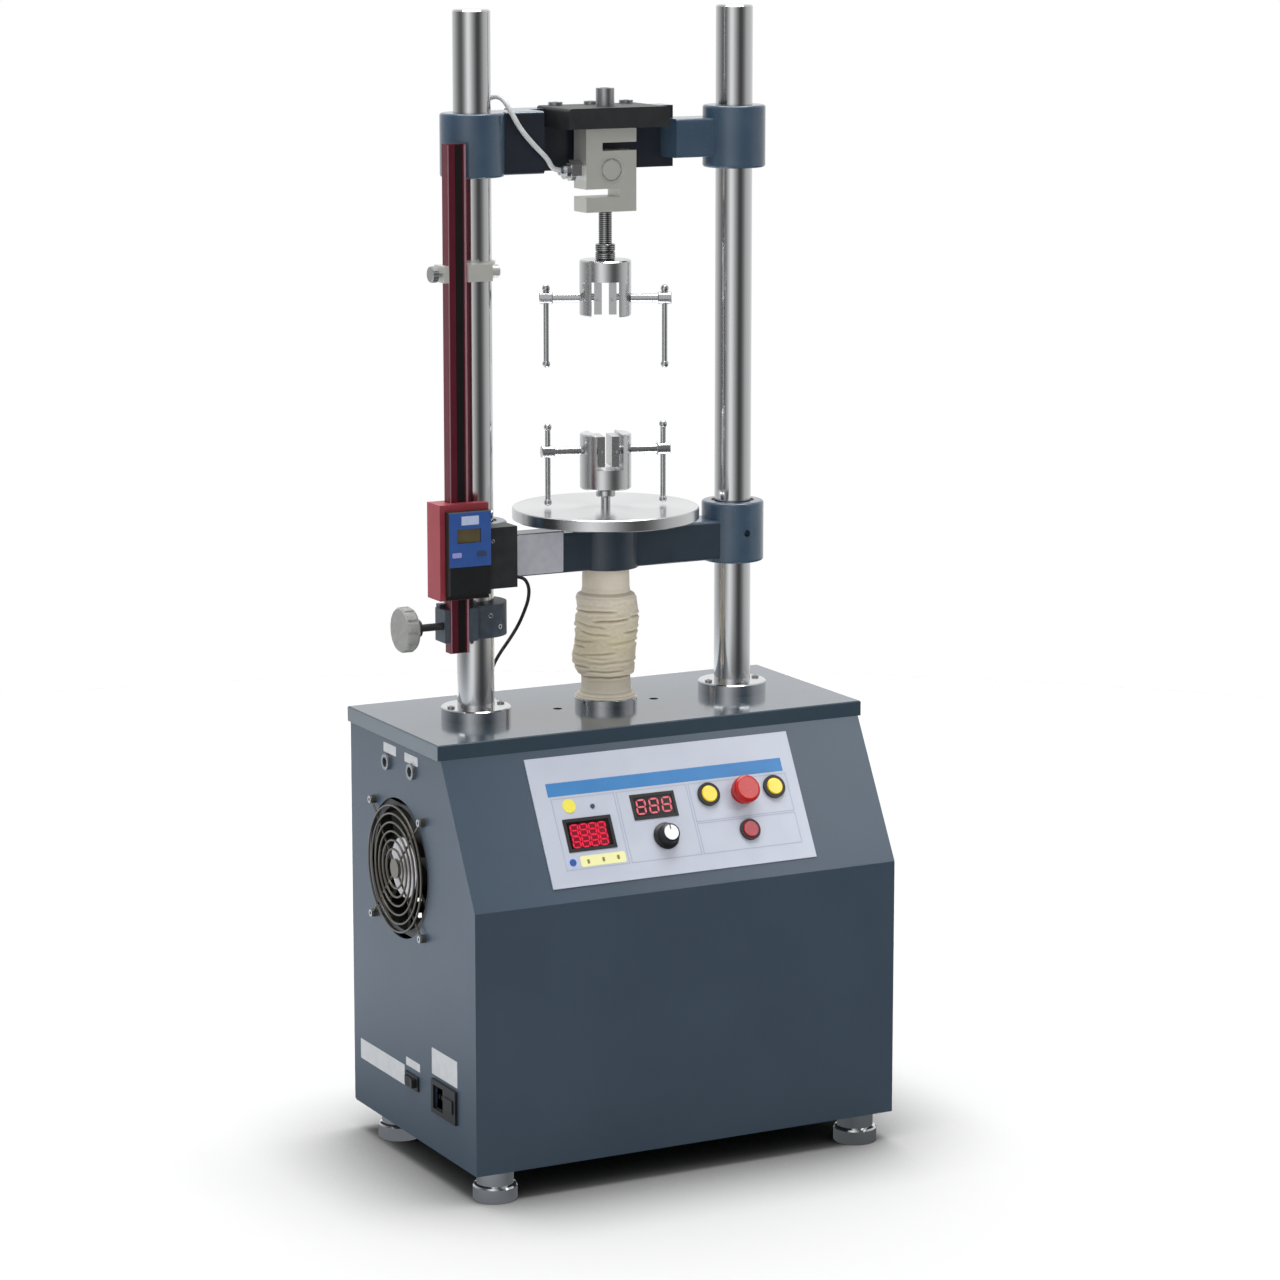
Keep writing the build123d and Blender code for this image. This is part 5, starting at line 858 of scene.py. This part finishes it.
# small socket screws in the lower clamp's ring and the slider's bracket: place, way out, radius
smallScrews = {
    "clampUpperScrew": ((-131.5, -28.4, 98.5), (0.05, -1.0, 0.0), 2.4, "frame"),
    "clampLowerScrew": ((-120.8, -25.7, 87.4), (0.43, -0.90, 0.0), 2.4, "frame"),
    "bracketScrew": ((-136.4, -45.0, 169.3), (0.0, -1.0, 0.0), 1.8, "crosshead"),
}
# height, depth of the socket and rounding in millimetres, and the rim's share of the radius
screwHead = {"high": 1.6, "socket": 0.9, "edge": 0.2, "rim": 0.45}


def makeSmallScrew(name, spot, out, radius, body):
    clearSelection()
    bpy.ops.mesh.primitive_cylinder_add(vertices=32, radius=radius * mm, depth=screwHead["high"] * mm)
    piece = newPiece(name)
    setMode("EDIT")
    bpy.ops.mesh.select_all(action="DESELECT")
    shape = bmesh.from_edit_mesh(piece.data)
    shape.faces.ensure_lookup_table()
    for face in shape.faces:
        face.select_set(face.normal.z > squarely)
    bmesh.update_edit_mesh(piece.data)
    bpy.ops.mesh.inset(thickness=radius * screwHead["rim"] * mm, depth=0)
    bpy.ops.mesh.extrude_region_move(TRANSFORM_OT_translate={"value": (0, 0, -screwHead["socket"] * mm)})
    setMode("OBJECT")
    roundEdges(piece, screwHead["edge"])
    settle(piece, Matrix.Translation(row(*spot)) @ Vector(out).to_track_quat("Z", "Y").to_matrix().to_4x4())
    dress(piece, "brightChrome", body)


for name, look in smallScrews.items():
    makeSmallScrew(name, *look)


# strips along the scale beam: pale edge, magnetic tape in its groove, pale edge
beamEdge = {"front": -34.0, "thick": 0.12, "finish": "paleEdgeAluminium"}
scaleStrip = {"up": (68.4, 523.6), "corner": 0, "edge": 0, "body": "frame", "slot": "scale_red"}
scaleStrips = {
    "scaleLeftEdge": {**beamEdge, "across": (-173.3, -172.0)},
    "scaleTape": {"across": (-166.2, -158.3), "front": -33.4, "thick": 0.5, "finish": "magneticTape"},
    "scaleRightEdge": {**beamEdge, "across": (-157.2, -155.2)},
}
for name, look in scaleStrips.items():
    layPlate(name, {**scaleStrip, **look})
print("readout and scale dressed")


# Cloth bellows round the lifting screw
bellowsLook = {
    "profile": (
        (29.0, 8.4), (26.6, 10.5), (23.6, 13.5), (22.9, 18.0), (22.8, 27.5), (26.6, 31.0), (27.6, 34.5),
        (28.4, 45.0), (28.0, 60.0), (28.2, 75.0), (27.6, 90.0), (27.8, 100.0), (26.8, 103.5), (22.6, 106.5),
        (22.0, 111.0), (21.6, 129.1),
    ),
    # fuller or slimmer at the left and the right as the photograph shows it: height, spread, how much
    "left": ((46.0, 9.0, 3.0), (90.0, 6.0, -1.6)),
    "right": ((84.0, 13.0, 2.4), (42.0, 12.0, -1.6)),
    "viewAngle": 242.5,
    # creases: height, from and to round the view's middle in degrees, depth, width, rise over 90 degrees
    "creases": (
        (90.5, -85, 25, 2.6, 1.2, 1.2), (82.0, -28, 52, 3.0, 1.1, 1.8), (85.5, 46, 105, 2.6, 1.2, -1.0),
        (75.5, -75, 5, 1.6, 1.3, -5.0), (70.0, 32, 112, 2.4, 1.2, 1.0), (69.0, -62, 12, 1.5, 1.2, -3.0),
        (63.0, -95, -18, 1.7, 1.3, 2.2), (60.5, -2, 84, 1.3, 1.5, 1.6), (55.5, -112, -38, 2.2, 1.2, -2.0),
        (51.5, -52, 22, 1.9, 1.2, 3.0), (47.0, -84, 4, 1.3, 1.3, -2.6), (42.5, -32, 66, 1.2, 1.4, 1.2),
        (37.5, -104, -28, 2.0, 1.2, -1.2), (34.5, -46, 42, 1.8, 1.0, 0.5), (28.8, -60, 78, 2.6, 1.0, 0.6),
    ),
    # they lie on the front and, half a turn on and a little higher, on the back: turn, lift
    "faces": ((0.0, 0.0), (180.0, 1.8)),
    # degrees over which a crease's ends fade, widths at which it is felt
    "fade": 16.0, "reach": 6.0,
    # swellings beside a crease: place and spread in widths, share of the depth
    "lips": ((2.0, 1.5, 0.45), (-2.0, 1.6, 0.3)),
    # creases wander up and down: how far, how often round and from one to the next
    "wander": (0.9, 2.2, 0.31),
    # crumples: depth, how often round and up; full between two heights, less at the necks
    "crumples": ((0.7, 2.6, 0.16), (0.28, 6.0, 0.35)), "full": (30.0, 105.0, 6.0), "neckShare": 0.25,
    # the foot spreads unevenly: below what height, over what height, how far, how often round
    "foot": (14.0, 5.6, 1.3, 4.0),
    # and its hem hangs unevenly: height, how far, how often round, where the noise is read
    "hem": (6.0, 1.6, 3.5, 7.0),
    "around": 200, "levels": 240, "wall": 0.7,
}


def profileRadius(profile, z):
    for (r0, z0), (r1, z1) in zip(profile, profile[1:]):
        if z <= z1:
            t = max(0.0, (z - z0) / (z1 - z0))
            t = t * t * (3 - 2 * t)
            return r0 + (r1 - r0) * t
    return profile[-1][0]


def bump(away):
    return math.exp(-away * away)


def creaseDepth(look, around, turned, z):
    deepen = 0.0
    size, oftenRound, oftenUp = look["wander"]
    for turn, lift in look["faces"]:
        offset = (turned - turn + 180.0) % 360.0 - 180.0
        for middle, start, stop, deep, width, rise in look["creases"]:
            inside = min(1.0, (offset - start) / look["fade"], (stop - offset) / look["fade"])
            if inside <= 0.0:
                continue
            wander = size * noise.noise(around * oftenRound + Vector((0, 0, middle * oftenUp)))
            away = (z - middle - lift - rise * offset / 90.0 - wander) / width
            if abs(away) < look["reach"]:
                swell = sum(share * bump((away - at) / spread) for at, spread, share in look["lips"])
                deepen += inside * deep * (swell - bump(away))
    return deepen


def bellowsRadius(look, angle, z):
    radius = profileRadius(look["profile"], z)
    around = Vector((math.cos(angle), math.sin(angle), 0.0))
    turned = math.degrees(angle) - look["viewAngle"]
    side = math.sin(math.radians(turned))
    for middle, spread, more in look["left" if side < 0 else "right"]:
        radius += abs(side) * more * bump((z - middle) / spread)
    radius += creaseDepth(look, around, turned, z)
    low, high, over = look["full"]
    full = max(0.0, min(1.0, (z - low) / over, (high - z) / over))
    crumple = 0.0
    for deep, oftenRound, oftenUp in look["crumples"]:
        crumple += deep * noise.noise(Vector((around.x * oftenRound, around.y * oftenRound, z * oftenUp)))
    radius += (look["neckShare"] + (1 - look["neckShare"]) * full) * crumple
    top, over, far, often = look["foot"]
    if z < top:
        radius += (top - z) / over * far * noise.noise(around * often)
    return radius


def makeBellows(look):
    low, high = look["profile"][0][1], look["profile"][-1][1]
    hem, far, often, apart = look["hem"]
    clearSelection()
    bpy.ops.mesh.primitive_grid_add(x_subdivisions=look["around"], y_subdivisions=look["levels"], size=2.0)
    piece = newPiece("bellowsCloth")
    for vertex in piece.data.vertices:
        angle = math.pi * (vertex.co.x + 1) + math.pi / 2
        z = low + (high - low) * (vertex.co.y + 1) / 2
        if z < low + hem:
            drop = noise.noise(Vector((math.cos(angle), math.sin(angle), apart)) * often)
            z += (1.0 - (z - low) / hem) * far * max(0.0, drop)
        radius = bellowsRadius(look, angle, z)
        vertex.co = row(radius * math.cos(angle), radius * math.sin(angle), z)
    pick(piece)
    setMode("EDIT")
    bpy.ops.mesh.select_all(action="SELECT")
    # closes the seam where the grid's two sides meet
    bpy.ops.mesh.remove_doubles(threshold=0.00001)
    bpy.ops.mesh.normals_make_consistent(inside=False)
    setMode("OBJECT")
    wall = piece.modifiers.new("wall", "SOLIDIFY")
    wall.thickness, wall.offset = look["wall"] * mm, -1.0
    applyModifiers(piece)
    piece.data.shade_smooth()
    settle(piece)
    return piece


clothLook = {
    "pale": "#f0e8d9", "dull": "#e6dbc6", "cloudSize": 14.0,
    # the pleated middle is tinted more khaki than the ends: height, reach, how much
    "middleKhaki": "#dccfa6", "middleKhakiAt": (60.0, 42.0, 0.6),
    # painted shade in the folds: full below the first pointiness, gone above the second
    "foldShade": "#8d8270", "folds": (0.40, 0.52),
    "weave": 0.7, "weaveDepth": 0.08,
    "sockets": {"Sheen Weight": 0.25, "Sheen Roughness": 0.5, "Roughness": 0.9},
}


def clothMaterial(look):
    # unbleached cotton drill, washed: cream, matt, a plain weave of about 0.7 mm and painted grey shade in
    # the folds
    material, tree = newMaterial("unbleachedCottonDrill")
    place = addNode(tree, "TexCoord").outputs["Object"]
    clouds = addNoise(tree, look["cloudSize"], 4.0, place)
    tint = mixColours(tree, clouds, linear(look["dull"]), linear(look["pale"]))
    middle, reach, much = look["middleKhakiAt"]
    height = addNode(tree, "SeparateXYZ", {0: place}).outputs[2]
    away = calculate(tree, "ABSOLUTE", calculate(tree, "SUBTRACT", height, (tableHeight + middle) * mm))
    middleShare = mapRange(tree, away, 0.0, reach * mm, much, 0.0)
    tint = mixColours(tree, middleShare, tint, linear(look["middleKhaki"]))
    # painted shade: the cloth's colour darkens where the mesh folds in
    foldShade = mapRange(tree, addNode(tree, "NewGeometry").outputs["Pointiness"], *look["folds"])
    foldShaded = mixColours(tree, foldShade, linear(look["foldShade"]), tint)
    weave = addNoise(tree, look["weave"], 2.0, place)
    relief = addNode(tree, "Bump", {"Distance": look["weaveDepth"] * mm, "Height": weave})
    feed(tree, tree.nodes["Principled BSDF"], {**look["sockets"], "Base Color": foldShaded, "Normal": relief})
    return material


bellows = makeBellows(bellowsLook)
bellows.data.materials.clear()
bellows.data.materials.append(clothMaterial(clothLook))
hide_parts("bellows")
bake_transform(bellows)
print("bellows sewn")


loadCellCord.data.materials.append(finish["greyVinylSheath"])
readoutCord.data.materials.append(finish["blackVinylSheath"])


# Floor, surroundings and lamps
floorLook = {
    "sides": 96, "radius": 2.2, "white": 0.56, "tint": (0.88, 0.94, 1.0, 1),
    # what shines in gloss: dark at the front and right, bright the other way
    "brightWay": (-0.7, 0.7, 0.0), "dark": 0.05, "bright": 1.3, "brightReach": 0.6,
    # the share of it near the machine, and the distances between which it grows to the full
    "shadedShare": 0.25, "shaded": (0.24, 0.62), "shadowReach": 0.13,
}


def makeFloor(look):
    clearSelection()
    bpy.ops.mesh.primitive_circle_add(vertices=look["sides"], radius=look["radius"], fill_type="NGON",
                                      location=(0, 0, 0))
    floor = newPiece("studioFloor")
    material, tree = newMaterial("whiteStudioPaper")
    tree.nodes.clear()
    # white paper with a painted contact shadow: darker where the machine stands close over it
    shadowedPaperColour = addNode(tree, "AmbientOcclusion", {"samples": 8, "Distance": look["shadowReach"],
                                               "Color": (look["white"],) * 3 + (1,)}).outputs["Color"]
    paper = addNode(tree, "BsdfDiffuse", {"Color": shadowedPaperColour})
    # gloss meets a bright floor at the left and behind, and dark cloth at the front and right
    place = addNode(tree, "TexCoord").outputs["Object"]
    across = addNode(tree, "VectorMath", {"operation": "DOT_PRODUCT", 0: place, 1: look["brightWay"]})
    reach = look["brightReach"]
    shade = mapRange(tree, across.outputs["Value"], -reach, reach, look["dark"], look["bright"])
    # and a darker one in the shade of the machine
    away = addNode(tree, "VectorMath", {"operation": "LENGTH", 0: place}).outputs["Value"]
    clear = mapRange(tree, away, *look["shaded"], look["shadedShare"])
    strength = calculate(tree, "MULTIPLY", shade, clear)
    shine = addNode(tree, "Emission", {"Color": look["tint"], "Strength": strength})
    gloss = addNode(tree, "LightPath").outputs["Is Glossy Ray"]
    mixed = addNode(tree, "MixShader", {0: gloss, 1: paper, 2: shine})
    addNode(tree, "OutputMaterial", {"Surface": mixed})
    floor.data.materials.append(material)


surroundings = {
    # what shines in gloss and metal, from the front (0) round by the right, the back and the left to the
    # front (1): dark screens stand in front, a little to the right, and at the left, and white ones between
    "bands": ((0.0, 0.14), (0.02, 0.07), (0.06, 0.08), (0.10, 0.22), (0.15, 0.5), (0.20, 0.6), (0.27, 0.72),
              (0.34, 0.85), (0.42, 0.95), (0.50, 0.8), (0.58, 0.6), (0.65, 0.34), (0.70, 0.16), (0.75, 0.10),
              (0.79, 0.25), (0.83, 0.6), (0.866, 1.0), (0.90, 0.88), (0.94, 0.5), (0.98, 0.24), (1.0, 0.14)),
    # soft light on dull surfaces: brighter from the left and from below, where the lamp doesn't reach
    "level": 0.80, "fromLeft": 0.35, "fromBack": 0.05, "fromAbove": -0.40, "least": 0.03,
}


def makeSurroundings(look):
    world = bpy.data.worlds.new("softStudio")
    bpy.context.scene.world = world
    world.use_nodes = True
    tree = world.node_tree
    tree.nodes.clear()
    way = addNode(tree, "TexCoord").outputs["Generated"]
    parts = addNode(tree, "SeparateXYZ", {0: way})
    angle = calculate(tree, "ARCTAN2", parts, calculate(tree, "MULTIPLY", parts.outputs[1], -1.0))
    turn = mapRange(tree, angle, -math.pi, math.pi)
    around = calculate(tree, "FRACT", calculate(tree, "ADD", turn, 0.5))
    bands = addNode(tree, "ValToRGB", {0: around})
    ramp = bands.color_ramp
    for index, (place, value) in enumerate(look["bands"]):
        stop = ramp.elements[index] if index < 2 else ramp.elements.new(place)
        stop.position = place
        stop.color = (value, value, value, 1)
    brighter = (-look["fromLeft"], look["fromBack"], look["fromAbove"])
    lean = addNode(tree, "VectorMath", {"operation": "DOT_PRODUCT", 0: way, 1: brighter}).outputs["Value"]
    level = calculate(tree, "MAXIMUM", calculate(tree, "ADD", lean, look["level"]), look["least"])
    camera = addNode(tree, "Background", {"Color": (1, 1, 1, 1), "Strength": 1.0})
    glossy = addNode(tree, "Background", {"Color": bands, "Strength": 1.0})
    ambient = addNode(tree, "Background", {"Color": (1, 1, 1, 1), "Strength": level})
    light = addNode(tree, "LightPath")
    first = addNode(tree, "MixShader", {0: light.outputs["Is Glossy Ray"], 1: ambient, 2: glossy})
    seen = calculate(tree, "MAXIMUM", light.outputs["Is Camera Ray"], light.outputs["Is Transmission Ray"])
    addNode(tree, "OutputWorld", {"Surface": addNode(tree, "MixShader", {0: seen, 1: first, 2: camera})})


lamps = {
    # a broad soft light from above, a little behind and to the right, and a narrow one that shines in the
    # control face only
    "skyLamp": {"kind": "SUN", "from": (0.2, 0.3, 2.6), "at": (0.0, 0.0, 0.5), "power": 4.3,
                "angle": math.radians(52)},
    "slopeLamp": {"kind": "AREA", "from": (0.74, -0.86, 1.11), "at": (0.19, -0.13, 0.33), "power": 0.135,
                  "size": 0.42, "spread": math.radians(40)},
}


def makeLamps(look):
    for name, lamp in look.items():
        data = bpy.data.lights.new(name, lamp["kind"])
        data.energy = lamp["power"]
        if lamp["kind"] == "SUN":
            data.angle = lamp["angle"]
        else:
            data.shape, data.size, data.spread = "DISK", lamp["size"], lamp["spread"]
        piece = bpy.data.objects.new(name, data)
        sceneObjects.link(piece)
        piece.location = lamp["from"]
        way = Vector(lamp["at"]) - Vector(lamp["from"])
        piece.rotation_euler = way.to_track_quat("-Z", "Y").to_euler()
        piece.visible_camera = False


makeFloor(floorLook)
makeSurroundings(surroundings)
makeLamps(lamps)
bpy.context.scene.view_settings.view_transform = "Standard"
print("studio lit")
